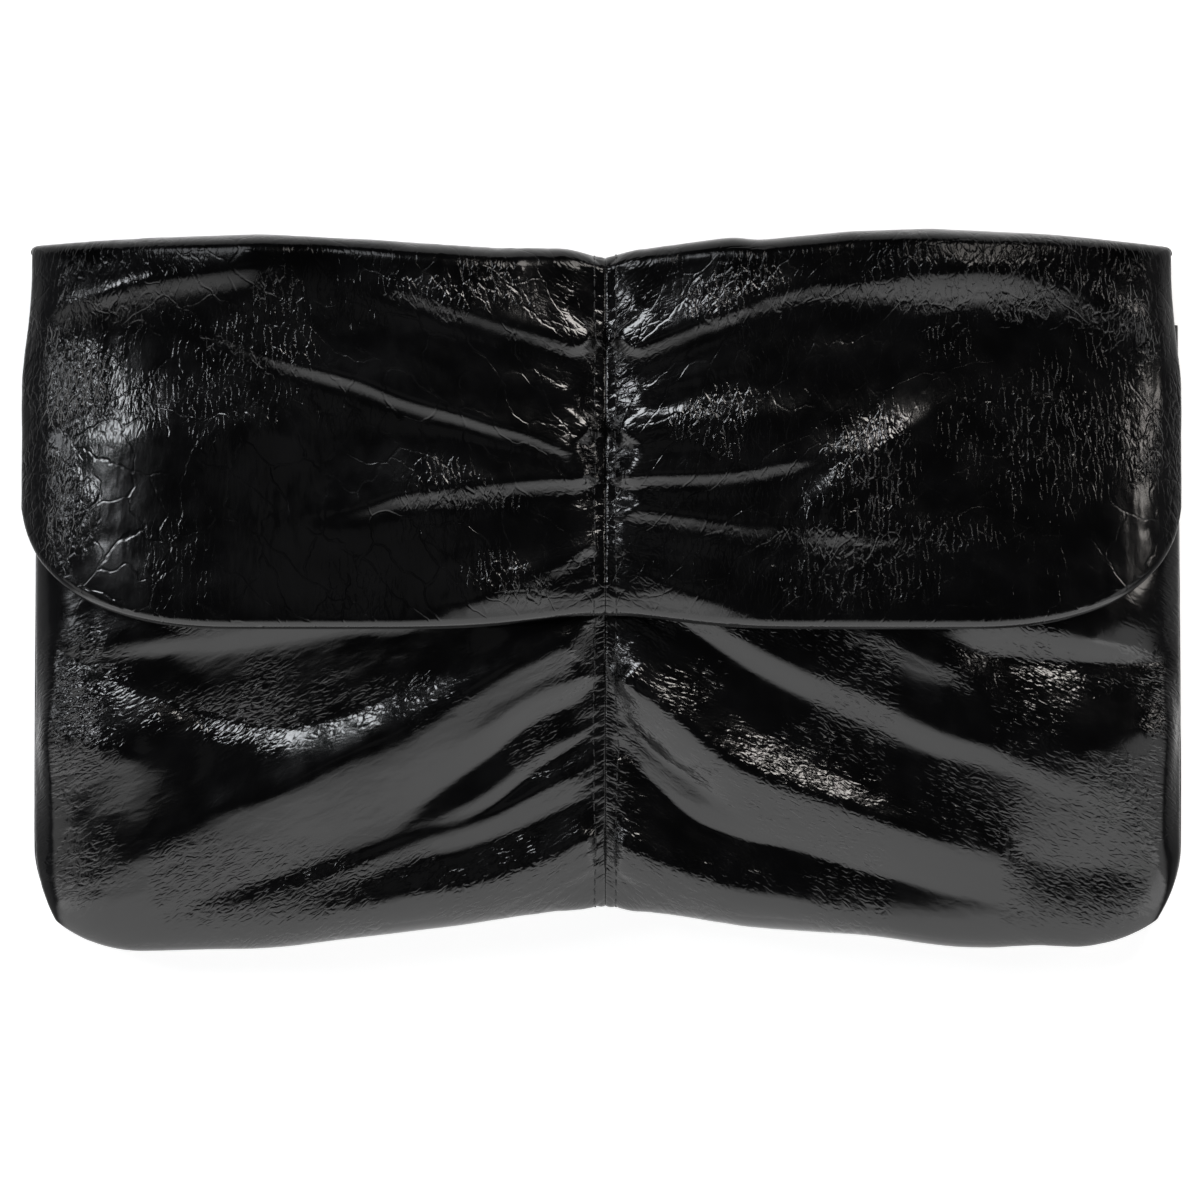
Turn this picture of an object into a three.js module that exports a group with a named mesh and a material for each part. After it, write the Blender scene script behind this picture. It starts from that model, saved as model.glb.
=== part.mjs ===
// Envelope clutch in black glazed leather, gathered along a centre seam, with a front flap.
// It lies on its back on a table: +X runs to the right of the flap, +Y from the base to the top fold,
// +Z up out of the flap. The origin is the middle of the clutch, on the table. Sizes are millimetres.
import * as THREE from "three";

// Leather and seams
const LEATHER = 1.4;
const FACING = 1.0;
const SEAM_GAP = 0.5;
const FACING_GAP = 0.35;
const SEAM_X = 1;

// Pouch outline
const POUCH_REACH = { left: 150.5, right: 151.8 };
const BASE_Y = -93.9;
const BASE_NOTCH = 11;
const LOBE_OUT = 104;
const BASE_CORNER_RADIUS = 40;
const SIDE_CORNER_RADIUS = 20;
const CORNER_SHARE = Math.SQRT1_2;
const MOUTH_Y = 70;

// Pouch depth
const SIDE_SEAM_Z = 7.5;
const SIDE_SEAM_DROP = 4.8;
const SIDE_DROP_FROM_Y = -50;
const ROLL_REACH = 30;
const ROLL_Z = 13;
const LOBE_RISE = 20;
const ROLL_TOP_SHARE = 0.55;
const CLIMB_FROM_Y = -84;
const CLIMB_TO_Y = 4;
const MOUTH_FALL = 0.42;
const FALL_FROM_Y = -20;
const FALL_TO_Y = 88;
const FRONT_PINCH = 0.3;
const PINCH_REACH = 24;
const UNDER_ANGLE = THREE.MathUtils.degToRad(25);
const UNDER_GAP_ANGLE = THREE.MathUtils.degToRad(1.8);
const BACK_CURL_POWER = 9;

// Flap
const FLAP_REACH = { left: 154.2, right: 152.2 };
const FLAP_TOP_TAPER = 2.6;
const FLAP_RISE = 5.6;
const FLAP_TOP_RISE = 1.2;
const FLAP_PINCH = 0.2;
const FLAP_EDGE_Y = -9.8;
const FLAP_EDGE_LIFT = 3.6;
const FLAP_CORNER_OUT = 58;
const FLAP_CORNER_UP = 36;
const FLAP_CORNER_POWER = 2.3;
const TOP_Y = 93.2;
const TOP_SEAM_DIP = 4.6;
const TOP_SEAM_REACH = 42;
const TOP_CORNER_DIP = 3.6;
const FOLD_REACH_MIDDLE = 9;
const FOLD_REACH_SIDE = 6;
const TAIL_Y = MOUTH_Y + SEAM_GAP;
const FLAP_EDGE_SHARE = 0.985;

// Snap
const SNAP_DIAMETER = 14;
const SNAP_THICKNESS = 2.6;
const SNAP_Y = 14;
const SNAP_SIDES = 24;
const SNAP_GAP = 0.6;

// Folds under the flap lie flatter than those in the open.
const SEWN_REACH = 10;
const COVERED_FROM_Y = -15;
const COVERED_TO_Y = 2;
const COVERED_SHARE = 0.15;

// How each wall is divided. ROLL_SHARE, TAIL_SHARE and FOLD_SHARE part the rows of a panel's length.
const FRONT_CELLS = { across: 17, along: 20 };
const FLAP_CELLS = { across: 17, along: 21 };
const BACK_CELLS = { across: 10, along: 9 };
const FACING_FIRST_ROW = 8;
const ROLL_SHARE = 0.35;
const BACK_ROLL_SHARE = 0.45;
const TAIL_SHARE = 0.06;
const FOLD_SHARE = 0.34;
const END_CROWDING = 0.5;
const STEP = 1e-3;
const CURVE_STEPS = 24;

// Gathers. Each runs from near the seam (start) through mid to its end: out is the distance from the
// seam, y the place up the clutch. Height is above the panel, or below it if negative. above and below
// are the widths of its two sides, and crest is the radius of its top.
const foldRow = (out0, y0, out1, y1, out2, y2, height, above, below, crest) => ({
  start: [out0, y0],
  mid: [out1, y1],
  end: [out2, y2],
  height,
  above,
  below,
  crest,
});
const FRONT_FOLDS = {
  left: [
    foldRow(48, -9, 93, -12, 138, -15, 2.2, 7, 5, 4),
    foldRow(1, -12, 48, -29, 117, -27, -3.6, 8, 6, 2),
    foldRow(2, -18, 60, -37, 132, -47, 4, 8, 20, 5),
    foldRow(7, -39, 45, -63, 126, -89, -4, 11, 8, 1),
    foldRow(4, -55, 46, -76, 98, -88, 2.8, 6, 8, 4),
  ],
  right: [
    foldRow(72, -9, 104, -13, 143, -17, 1.8, 6, 5, 4),
    foldRow(12, -9, 58, -30, 117, -51, 3.6, 13, 7, 5),
    foldRow(9, -19, 36, -45, 68, -63, -3.6, 7, 6, 2),
    foldRow(7, -24, 42, -53, 117, -74, 4, 6, 10, 4),
    foldRow(10, -44, 45, -66, 127, -88, -4, 10, 8, 1),
    foldRow(12, -67, 42, -78, 74, -90, -2.8, 8, 6, 1),
  ],
};
const FLAP_FOLDS = {
  left: [
    foldRow(4, 38, 60, 54, 108, 77, 2.6, 12, 5, 3),
    foldRow(104, 77, 128, 78, 149, 70, 2, 9, 6, 4),
    foldRow(1, 62, 26, 70, 56, 80, 2.4, 6, 5, 3),
    foldRow(1, 30, 32, 29, 67, 20, 2.2, 9, 4, 3),
  ],
  right: [
    foldRow(9, 62, 44, 81, 84, 86, 3.4, 12, 6, 3),
    foldRow(80, 86, 116, 81, 149, 70, 3.2, 12, 6, 4),
    foldRow(6, 48, 40, 61, 75, 60, -1.4, 4, 4, 1.5),
    foldRow(5, 30, 32, 32, 60, 36, 2, 8, 4, 3),
    foldRow(9, 20, 40, 15, 70, 11, 1.6, 8, 5, 3),
  ],
};

// Dents in the top fold where the seam draws it down, alike on both sides at the seam itself
const TOP_DENTS = {
  left: [foldRow(0, 77, 17, 84, 34, 90, -4.4, 6, 7, 2)],
  right: [foldRow(0, 77, 19, 83, 38, 91, -4.4, 6, 7, 2)],
};

const LEATHER_LOOK = new THREE.MeshStandardMaterial({ color: 0x0a0a0b, roughness: 0.22, metalness: 0 });
const FACING_LOOK = new THREE.MeshStandardMaterial({ color: 0x0d0d0e, roughness: 0.45, metalness: 0 });
const SNAP_LOOK = new THREE.MeshStandardMaterial({ color: 0x8c8c90, roughness: 0.3, metalness: 1 });

const { smoothstep, lerp } = THREE.MathUtils;
const towards = (side) => (side === "left" ? -1 : 1);

// How far a rounded corner pulls an outline in, at a distance past the start of its arc
const arcInset = (past, radius) =>
  past <= 0 ? 0 : radius - Math.sqrt(radius ** 2 - Math.min(past, radius * CORNER_SHARE) ** 2);

// 1 over the middle of a half and 0 at its side seam, with an upright end so that the side is round
const fullness = (u) => Math.pow(Math.max(0, 1 - u ** 3), 0.62);

// How much the centre seam draws a panel in
const pinch = (out, depth) => 1 - depth * Math.exp(-((out / PINCH_REACH) ** 1.4));

const sideSeamZ = (y) => {
  const drop = THREE.MathUtils.clamp((y - SIDE_DROP_FROM_Y) / (MOUTH_Y - SIDE_DROP_FROM_Y), 0, 1);
  return SIDE_SEAM_Z - SIDE_SEAM_DROP * drop;
};
const rollZ = (u, y) => lerp(sideSeamZ(y), ROLL_Z, fullness(u));

// Middle of the back wall: flat on the table, and curled up to the side seam at its edge
const backZ = (u, y) => {
  const curl = 1 - Math.sqrt(Math.max(0, 1 - u ** BACK_CURL_POWER));
  return LEATHER / 2 + (sideSeamZ(y) - LEATHER / 2) * curl;
};

// Middle of the front wall past the base roll: it climbs to the flap's edge and falls towards the mouth
const frontZ = (u, out, y, depth) => {
  const climb = lerp(ROLL_TOP_SHARE, 1, smoothstep(y, CLIMB_FROM_Y, CLIMB_TO_Y));
  const fall = 1 - MOUTH_FALL * smoothstep(y, FALL_FROM_Y, FALL_TO_Y);
  return rollZ(u, y) + LOBE_RISE * fullness(u) * pinch(out, depth) * climb * fall;
};

// The base line: two lobes, a notch at the centre seam and round corners
const baseY = (side, out) => {
  const notch = out < LOBE_OUT ? (BASE_NOTCH * (1 + Math.cos((Math.PI * out) / LOBE_OUT))) / 2 : 0;
  const cornerStart = POUCH_REACH[side] - BASE_CORNER_RADIUS * CORNER_SHARE;
  return BASE_Y + notch + arcInset(out - cornerStart, BASE_CORNER_RADIUS);
};

// Place on the pouch at a share u of the way from seam to side and a roll angle about the base: -90
// degrees is the table, 0 the furthest bulge and 90 the front. along is the share from there to the mouth.
const pouchPlace = (side, u, angle, along, gap) => {
  const above = ROLL_REACH * (1 - Math.cos(angle));
  const cornerInset = arcInset(SIDE_CORNER_RADIUS * CORNER_SHARE - above, SIDE_CORNER_RADIUS);
  const out = SEAM_GAP / 2 + u * (POUCH_REACH[side] - SEAM_GAP / 2 - cornerInset);
  const low = baseY(side, out);
  const y = low + above + along * (MOUTH_Y - low - ROLL_REACH);
  const bulge = rollZ(u, y) + gap;
  const lift = angle < 0 ? bulge - backZ(u, y) : frontZ(u, out, y, FRONT_PINCH) + gap - bulge;
  return { side, out, y, z: bulge + lift * Math.sin(angle) };
};

const frontPlace = (side, u, v) => {
  const start = -UNDER_ANGLE * fullness(u);
  const angle = lerp(start, Math.PI / 2, Math.min(v / ROLL_SHARE, 1));
  const along = Math.max(0, (v - ROLL_SHARE) / (1 - ROLL_SHARE));
  return pouchPlace(side, u, angle, along, SEAM_GAP / 2);
};

const backPlace = (side, u, v) => {
  const end = -UNDER_ANGLE * fullness(u) - UNDER_GAP_ANGLE;
  const angle = lerp(end, -Math.PI / 2, Math.min(v / BACK_ROLL_SHARE, 1));
  const along = Math.max(0, (v - BACK_ROLL_SHARE) / (1 - BACK_ROLL_SHARE));
  return pouchPlace(side, u, angle, along, -SEAM_GAP / 2);
};

// The flap's lower edge: lifted at the seam, with a long elliptical corner
const flapEdgeY = (side, out) => {
  const cornerStart = FLAP_REACH[side] - FLAP_CORNER_OUT;
  const past = Math.min(1, Math.max(0, (out - cornerStart) / FLAP_CORNER_OUT));
  const corner = 1 - (1 - past ** FLAP_CORNER_POWER) ** (1 / FLAP_CORNER_POWER);
  const lift = FLAP_EDGE_LIFT * Math.exp(-((out / PINCH_REACH) ** 2));
  return FLAP_EDGE_Y + lift + FLAP_CORNER_UP * corner;
};

const topY = (out) => {
  const seamDip = TOP_SEAM_DIP * Math.exp(-((out / TOP_SEAM_REACH) ** 2));
  return TOP_Y - seamDip - TOP_CORNER_DIP * smoothstep(out, 95, 150);
};

// Middle of the flap's front: it lies over the pouch, a little higher towards the top fold
const flapZ = (u, out, y) => {
  const topRise = FLAP_TOP_RISE * smoothstep(y, FALL_FROM_Y, FALL_TO_Y);
  return frontZ(u, out, y, FLAP_PINCH) + FLAP_RISE + topRise;
};

// Place on the flap at a share w of its length: a tail on the table, a half turn at the top, the front
const flapPlace = (side, u, w) => {
  const front = Math.max(0, (w - FOLD_SHARE) / (1 - FOLD_SHARE));
  const taper = FLAP_TOP_TAPER * (1 - smoothstep(front, 0, 0.5));
  const out = SEAM_GAP / 2 + u * (FLAP_REACH[side] - SEAM_GAP / 2 - taper);
  const foldReach = lerp(FOLD_REACH_MIDDLE, FOLD_REACH_SIDE, u);
  const foldY = topY(out) - foldReach;
  if (w >= FOLD_SHARE) {
    const y = lerp(foldY, flapEdgeY(side, out), front);
    return { side, out, y, z: flapZ(u, out, y) };
  }
  const tailZ = LEATHER / 2;
  if (w <= TAIL_SHARE) return { side, out, y: lerp(TAIL_Y, foldY, w / TAIL_SHARE), z: tailZ, shown: 0 };
  const turn = Math.PI * ((w - TAIL_SHARE) / (FOLD_SHARE - TAIL_SHARE) - 0.5);
  const crownZ = flapZ(u, out, foldY);
  return {
    side,
    out,
    y: foldY + foldReach * Math.cos(turn),
    z: lerp(tailZ, crownZ, (1 + Math.sin(turn)) / 2),
    shown: smoothstep(turn, -0.3, 0.4),
  };
};

// Points along a fold's line, a parabola through its three points
const foldLine = (row) => {
  const bend = [0, 1].map((i) => 2 * row.mid[i] - (row.start[i] + row.end[i]) / 2);
  return Array.from({ length: CURVE_STEPS + 1 }, (_, i) => {
    const t = i / CURVE_STEPS;
    return [0, 1].map((k) => (1 - t) ** 2 * row.start[k] + 2 * t * (1 - t) * bend[k] + t ** 2 * row.end[k]);
  });
};

// Height of one fold at a place: full along most of its line, and fading at both ends
const foldHeight = (row, out, y) => {
  row.line ??= foldLine(row);
  let nearest = Infinity;
  let at = 0;
  row.line.forEach(([lineOut, lineY], i) => {
    const away = Math.hypot(out - lineOut, y - lineY);
    if (away < nearest) [nearest, at] = [away, i];
  });
  const width = y > row.line[at][1] ? row.above : row.below;
  const share = at / CURVE_STEPS;
  const fade = smoothstep(share, -0.35, 0.25) * (1 - smoothstep(share, 0.55, 1));
  return row.height * fade * Math.exp((row.crest - Math.hypot(nearest, row.crest)) / width);
};

const foldsHeight = (rows, place) => rows.reduce((sum, row) => sum + foldHeight(row, place.out, place.y), 0);

// The seam holds both halves level, so folds rise only away from it.
const sewnDown = (out) => smoothstep(out, 0, SEWN_REACH);

const frontFolds = (place) => {
  const covered = smoothstep(place.y, COVERED_FROM_Y, COVERED_TO_Y);
  return foldsHeight(FRONT_FOLDS[place.side], place) * sewnDown(place.out) * lerp(1, COVERED_SHARE, covered);
};
const flapFolds = (place) => {
  const height = foldsHeight(FLAP_FOLDS[place.side], place) * sewnDown(place.out);
  return (height + foldsHeight(TOP_DENTS[place.side], place)) * (place.shown ?? 1);
};

const toPoint = (place) => new THREE.Vector3(SEAM_X + towards(place.side) * place.out, place.y, place.z);

// Outward direction of a panel. It has no sideways part at the centre seam and no upright part at the
// side seam, so that the pieces stay apart there.
const outward = (placeAt, side, u, v) => {
  const uStep = u < 0.5 ? STEP : -STEP;
  const vStep = v < 0.5 ? STEP : -STEP;
  const here = toPoint(placeAt(side, u, v));
  const across = toPoint(placeAt(side, u + uStep, v)).sub(here).divideScalar(uStep);
  const along = toPoint(placeAt(side, u, v + vStep)).sub(here).divideScalar(vStep);
  const normal = across.cross(along).multiplyScalar(towards(side)).normalize();
  normal.x *= smoothstep(u, 0, 0.08);
  normal.z *= u < 1 || placeAt === flapPlace ? 1 : 0;
  return normal.normalize();
};

// A panel's middle surface with its folds, and the direction of its thickness
const panelAt = (placeAt, folds, outwardSign) => (side, u, v) => {
  const place = placeAt(side, u, v);
  const normal = outward(placeAt, side, u, v).multiplyScalar(outwardSign);
  return { point: toPoint(place).addScaledVector(normal, folds(place)), normal };
};
const noFolds = () => 0;
const frontPanel = panelAt(frontPlace, frontFolds, 1);
const backPanel = panelAt(backPlace, noFolds, -1);
const flapPanel = panelAt(flapPlace, flapFolds, -1);

// Shares from 0 to 1 that crowd towards both ends, where a panel bends most
const crowded = (i, cells) => {
  const even = i / cells;
  return lerp(even, (1 - Math.cos(Math.PI * even)) / 2, END_CROWDING);
};

// The flap's columns and rows: its last cell is the narrow edge that the facing stops short of
const flapColumn = (i) => (i === FLAP_CELLS.across ? 1 : crowded(i, FLAP_CELLS.across - 1) * FLAP_EDGE_SHARE);
const flapRow = (j) => (j === FLAP_CELLS.along ? 1 : (j / (FLAP_CELLS.along - 1)) * FLAP_EDGE_SHARE);

// A closed wall around a grid of points, thick along each point's direction
const wallGeometry = (cells, thickness, surfaceAt) => {
  const rows = cells.along + 1;
  const layer = (cells.across + 1) * rows;
  const positions = [];
  for (const half of [0.5, -0.5]) {
    for (let i = 0; i <= cells.across; i += 1) {
      for (let j = 0; j <= cells.along; j += 1) {
        const { point, normal } = surfaceAt(i, j);
        positions.push(...point.clone().addScaledVector(normal, half * thickness).toArray());
      }
    }
  }
  const faces = [];
  const quad = (a, b, c, d) => faces.push(a, b, c, a, c, d);
  for (let i = 0; i < cells.across; i += 1) {
    for (let j = 0; j < cells.along; j += 1) {
      const [a, b, c, d] = [i * rows + j, (i + 1) * rows + j, (i + 1) * rows + j + 1, i * rows + j + 1];
      quad(a, b, c, d);
      quad(a + layer, d + layer, c + layer, b + layer);
    }
  }
  const rim = (from, to) => quad(to, from, from + layer, to + layer);
  for (let i = 0; i < cells.across; i += 1) {
    rim(i * rows, (i + 1) * rows);
    rim((i + 1) * rows + cells.along, i * rows + cells.along);
  }
  for (let j = 0; j < cells.along; j += 1) {
    rim(j + 1, j);
    rim(cells.across * rows + j, cells.across * rows + j + 1);
  }
  const geometry = new THREE.BufferGeometry();
  geometry.setAttribute("position", new THREE.Float32BufferAttribute(positions, 3));
  geometry.setIndex(faces);
  if (signedVolume(geometry) < 0) geometry.setIndex(faces.reverse());
  geometry.computeVertexNormals();
  return geometry;
};

// Six times the volume inside a closed geometry: negative if its faces point in
const signedVolume = (geometry) => {
  const corner = (i) => new THREE.Vector3().fromBufferAttribute(geometry.attributes.position, geometry.index.getX(i));
  let volume = 0;
  for (let i = 0; i < geometry.index.count; i += 3) {
    volume += corner(i).dot(corner(i + 1).cross(corner(i + 2)));
  }
  return volume;
};

const namedMesh = (name, geometry, look) => {
  const mesh = new THREE.Mesh(geometry, look);
  mesh.name = name;
  return mesh;
};

// Columns run from left to right on both sides, so that the flap and its facing are parted alike.
const halfPanel = (name, side, cells, panel, columnAt, rowAt) => {
  const column = (i) => (side === "left" ? cells.across - i : i);
  const surfaceAt = (i, j) => panel(side, columnAt(column(i)), rowAt(j));
  return namedMesh(`${name}_${side}`, wallGeometry(cells, LEATHER, surfaceAt), LEATHER_LOOK);
};
const pouchHalf = (name, side, cells, panel) =>
  halfPanel(name, side, cells, panel, (i) => crowded(i, cells.across), (j) => j / cells.along);

// The facing lines the flap from its lower edge to just short of the top fold, in one piece across the seam
const flapFacing = () => {
  const inset = LEATHER / 2 + FACING_GAP + FACING / 2;
  const half = FLAP_CELLS.across - 1;
  const cells = { across: 2 * half, along: FLAP_CELLS.along - 1 - FACING_FIRST_ROW };
  const surfaceAt = (i, j) => {
    const side = i < half ? "left" : "right";
    const { point, normal } = flapPanel(side, flapColumn(Math.abs(i - half)), flapRow(j + FACING_FIRST_ROW));
    return { point: point.addScaledVector(normal, -inset), normal };
  };
  return namedMesh("flap_facing", wallGeometry(cells, FACING, surfaceAt), FACING_LOOK);
};

// A hidden magnetic snap between the front and the facing, tilted with the front
const magnetSnap = () => {
  const disc = new THREE.CylinderGeometry(SNAP_DIAMETER / 2, SNAP_DIAMETER / 2, SNAP_THICKNESS, SNAP_SIDES);
  disc.rotateX(Math.PI / 2);
  const mesh = namedMesh("magnet_snap", disc, SNAP_LOOK);
  const rise = SNAP_DIAMETER / 2;
  const edgeZ = frontZ(rise / POUCH_REACH.right, rise, SNAP_Y, FRONT_PINCH);
  const slope = frontZ(0, 0, SNAP_Y + rise, FRONT_PINCH) - frontZ(0, 0, SNAP_Y - rise, FRONT_PINCH);
  mesh.rotation.x = Math.atan2(slope, SNAP_DIAMETER);
  mesh.position.set(SEAM_X, SNAP_Y, edgeZ + (LEATHER + SNAP_THICKNESS) / 2 + SNAP_GAP);
  return mesh;
};

const clutch = new THREE.Group();
const pouch = new THREE.Group();
const flap = new THREE.Group();
for (const side of ["left", "right"]) {
  pouch.add(pouchHalf("front", side, FRONT_CELLS, frontPanel));
  pouch.add(pouchHalf("back", side, BACK_CELLS, backPanel));
  flap.add(halfPanel("flap", side, FLAP_CELLS, flapPanel, flapColumn, flapRow));
}
flap.add(flapFacing());
clutch.add(pouch, flap, magnetSnap());

export default clutch;
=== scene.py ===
"""Looks of a soft envelope clutch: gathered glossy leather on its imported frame, stitches and a stage."""

import math
from collections import namedtuple

import bpy
import numpy as np
from mathutils import Matrix, Vector


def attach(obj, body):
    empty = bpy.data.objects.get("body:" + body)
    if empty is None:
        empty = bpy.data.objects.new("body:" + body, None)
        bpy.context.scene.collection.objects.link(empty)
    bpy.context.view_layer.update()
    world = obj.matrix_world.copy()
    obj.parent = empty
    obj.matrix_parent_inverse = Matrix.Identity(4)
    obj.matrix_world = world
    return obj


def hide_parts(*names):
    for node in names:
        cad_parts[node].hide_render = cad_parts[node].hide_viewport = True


bl_info = {
    "name": "Envelope Clutch",
    "version": (1, 0, 0),
    "blender": (4, 5, 0),
    "location": "3D View > Sidebar > Clutch",
    "description": "Builds a gathered leather envelope clutch and its stage",
    "category": "Object",
}

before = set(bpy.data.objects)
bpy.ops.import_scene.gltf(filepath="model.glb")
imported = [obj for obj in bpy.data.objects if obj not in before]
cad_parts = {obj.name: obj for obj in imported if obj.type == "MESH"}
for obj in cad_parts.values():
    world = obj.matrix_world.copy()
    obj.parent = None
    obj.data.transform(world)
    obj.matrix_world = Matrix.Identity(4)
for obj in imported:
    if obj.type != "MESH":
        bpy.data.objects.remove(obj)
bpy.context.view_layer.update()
BODY = "root"
SIDES = ("left", "right")
MM = 0.001

# Sizes of the pouch, in millimetres, close to those of the CAD model
SEAM_X = 1.0
HALF_SEAM_GAP = 0.12
EDGE_GAP = 0.25
POUCH_REACH = {"left": 150.5, "right": 151.8}
BASE_Y = -93.9
BASE_NOTCH = 11.0
LOBE_OUT = 104.0
BASE_DIP = {"left": 1.6, "right": 3.2}
DIP_OUT = 68.0
DIP_REACH = 20.0
BASE_CORNER_RADIUS = 40.0
SIDE_CORNER_RADIUS = 20.0
CORNER_SHARE = math.sqrt(0.5)
MOUTH_Y = 70.0
SIDE_SEAM_Z = 7.5
SIDE_SEAM_DROP = 4.8
SIDE_DROP_FROM_Y = -50.0
ROLL_REACH = 30.0
ROLL_Z = 13.0
LOBE_RISE = 20.0
ROLL_TOP_SHARE = 0.55
CLIMB_Y = (-84.0, 4.0)
MOUTH_FALL = 0.42
FALL_Y = (-20.0, 88.0)
FRONT_PINCH = 0.3
PINCH_REACH = 24.0
UNDER_ANGLE = math.radians(25)
UNDER_GAP_ANGLE = math.radians(1.8)
BACK_CURL_POWER = 9
FULLNESS_POWERS = (4, 0.62)
PINCH_POWER = 1.4

# Sizes of the flap, in millimetres
FLAP_REACH = {"left": 154.2, "right": 152.2}
FLAP_TOP_TAPER = 2.6
FLAP_RISE = 5.6
FLAP_TOP_RISE = 1.2
FLAP_PINCH = 0.2
FLAP_EDGE_Y = -9.8
FLAP_EDGE_LIFT = 3.6
FLAP_CORNER_OUT = 58.0
FLAP_CORNER_UP = 36.0
FLAP_CORNER_POWER = 2.3
FOLD_REACH = (9.0, 6.0)
UNDER_SQUARENESS = 2.4
TOP_SQUARENESS = 4.2
TAIL_Y = MOUTH_Y + 0.5
TAIL_TAPER = 7.0

# Shares of a panel's length where its base roll, its tail, its top fold and its taper end
ROLL_SHARE = 0.35
BACK_ROLL_SHARE = 0.4
TAIL_SHARE = 0.08
FOLD_SHARE = 0.3
TAPER_SHARE = 0.5

# Angles of the turn at the top, in radians, between which the flap's relief begins
SHOWN_TURN = (-0.3, 0.4)

# Folds lie flatter under the flap, are held level at the centre seam and the side, and wander a little. They
# narrow, rise and fade over shares of their length.
COVERED_REACH = (-3.0, 9.0)
COVERED_SHARE = 0.2
SEWN_REACH = 9.0
SIDE_FADE = 7.0
GATHER_OUT = 15.0
GATHER_NARROW = 0.7
BEND_SHARE = 0.2
NARROW_SHARE = 0.5
RISE_SHARE = 0.25
FADE_SHARE = 0.5
FOLD_WANDER = 1.3
WANDER_CELL = (17, 23)
WANDER_FROM = (2, 12)
WANDER_SEED = 5
SEWN_UNEVEN = 0.5
SEWN_CELL = (6, 40)
SEWN_SEED = 9

# The flap's edge droops near the seam
EDGE_DROOP = 1.3
DROOP_REACH = 30.0
DROOP_UP = 7.0

# From the middle of the front's wall to the middle of the flap's, and how gently the front is held under it
LAYERS_APART = 3.1
COVER_EASE = 0.5

# Each gather runs from near the seam (0) through a middle point (1) to its end (2): out is the distance from
# the seam and y the place up the clutch. It is height above the panel, or below it if negative, above and
# below are the widths of its two sides, and crest is the radius of its top, all in millimetres.
Fold = namedtuple("Fold", "out0 y0 out1 y1 out2 y2 height above below crest")
FRONT_FOLDS = {
    "left": (
        Fold(62, -9, 102, -11, 165, -18, 1.3, 7, 3.5, 2.5),
        Fold(62, -13, 100, -15, 165, -21, -1.2, 4, 14, 2),
        Fold(24, -16, 90, -45, 168, -2, -4.6, 60, 6, 1.2),
        Fold(3, -10, 50, -35, 150, -84, 4.2, 8, 24, 2.5),
        Fold(4, -22, 20, -29, 48, -46, 1.3, 3, 4, 1.5),
        Fold(5, -28, 30, -41, 62, -66, -1.6, 8, 4, 1.5),
        Fold(4, -36, 22, -47, 55, -65, 1.6, 4, 4, 1.5),
        Fold(4, -37, 30, -58, 135, -91, -4, 20, 10, 1.2),
        Fold(4, -46, 22, -55, 110, -88, 1.8, 4, 5, 1.5),
        Fold(5, -55, 25, -64, 85, -83, -1.8, 5, 7, 2),
        Fold(4, -64, 30, -75, 105, -93, 3, 6, 14, 3),
        Fold(102, -46, 138, -40, 190, -36, 4.5, 20, 20, 3),
    ),
    "right": (
        Fold(60, -2, 107, -8, 158, -20, 2.2, 6, 4, 3),
        Fold(55, -4, 78, -15, 112, -28, 1.2, 6, 3.5, 2),
        Fold(12, 2, 45, -20, 140, -57, 1.8, 8, 3.5, 2),
        Fold(12, -5, 45, -27, 140, -63, -1.7, 4, 14, 2),
        Fold(80, -40, 114, -50, 160, -62, 1.4, 12, 18, 4),
        Fold(16, -20, 42, -37, 100, -70, -2.6, 40, 6, 2),
        Fold(5, -22, 30, -43, 120, -78, 5.8, 10, 12, 2),
        Fold(4, -43, 20, -60, 130, -91, -3.6, 9, 9, 1.2),
        Fold(5, -34, 15, -46, 40, -60, -2.2, 3, 5, 1.5),
        Fold(4, -66, 30, -76, 110, -98, 3.4, 7, 16, 3),
        Fold(104, -44, 138, -37, 190, -34, 4.5, 20, 20, 3),
        Fold(100, -70, 132, -74, 158, -84, -2.6, 8, 14, 4),
        Fold(84, -13, 116, -19, 175, -20, -4.6, 6, 7, 2),
    ),
}
FLAP_FOLDS = {
    "left": (
        Fold(4, 34, 46, 49.5, 135, 75, 2.5, 26, 3, 1.5),
        Fold(70, 89, 118, 81, 175, 68, 4.2, 16, 7, 2.5),
        Fold(3, 62, 36, 73, 80, 85, 3, 22, 4, 2.2),
        Fold(3, 29.5, 30, 28.5, 90, 17, 2.8, 22, 3.5, 2),
        Fold(5, 10, 22, 1, 54, -9, 1.9, 6, 4.5, 3),
        Fold(4, 48, 30, 56, 72, 66, 1, 12, 5, 3),
        Fold(5, 21, 29, 13, 70, 7, 1, 10, 5, 3),
        Fold(69, 40, 104, 41, 145, 36, 1.4, 10, 9, 4),
    ),
    "right": (
        Fold(4, 61, 50, 80.5, 140, 86, 3.3, 22, 5, 2.2),
        Fold(60, 86.5, 118, 82, 200, 49, 4.2, 14, 9, 3.5),
        Fold(6, 49, 38, 61, 95, 62, 1.5, 14, 8, 2),
        Fold(3, 30, 28, 30, 80, 39, 2.4, 20, 3, 1.8),
        Fold(5, 22, 45, 16, 110, 14, 2.2, 20, 4.5, 2.5),
        Fold(4, 8, 17, 0, 47, -9, 1.6, 10, 4, 2.5),
        Fold(48, 16, 68, 34, 98, 55, 3.2, 6, 10, 2),
        Fold(4, 40, 28, 43, 70, 49, 2, 7, 6, 3),
    ),
}

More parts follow.
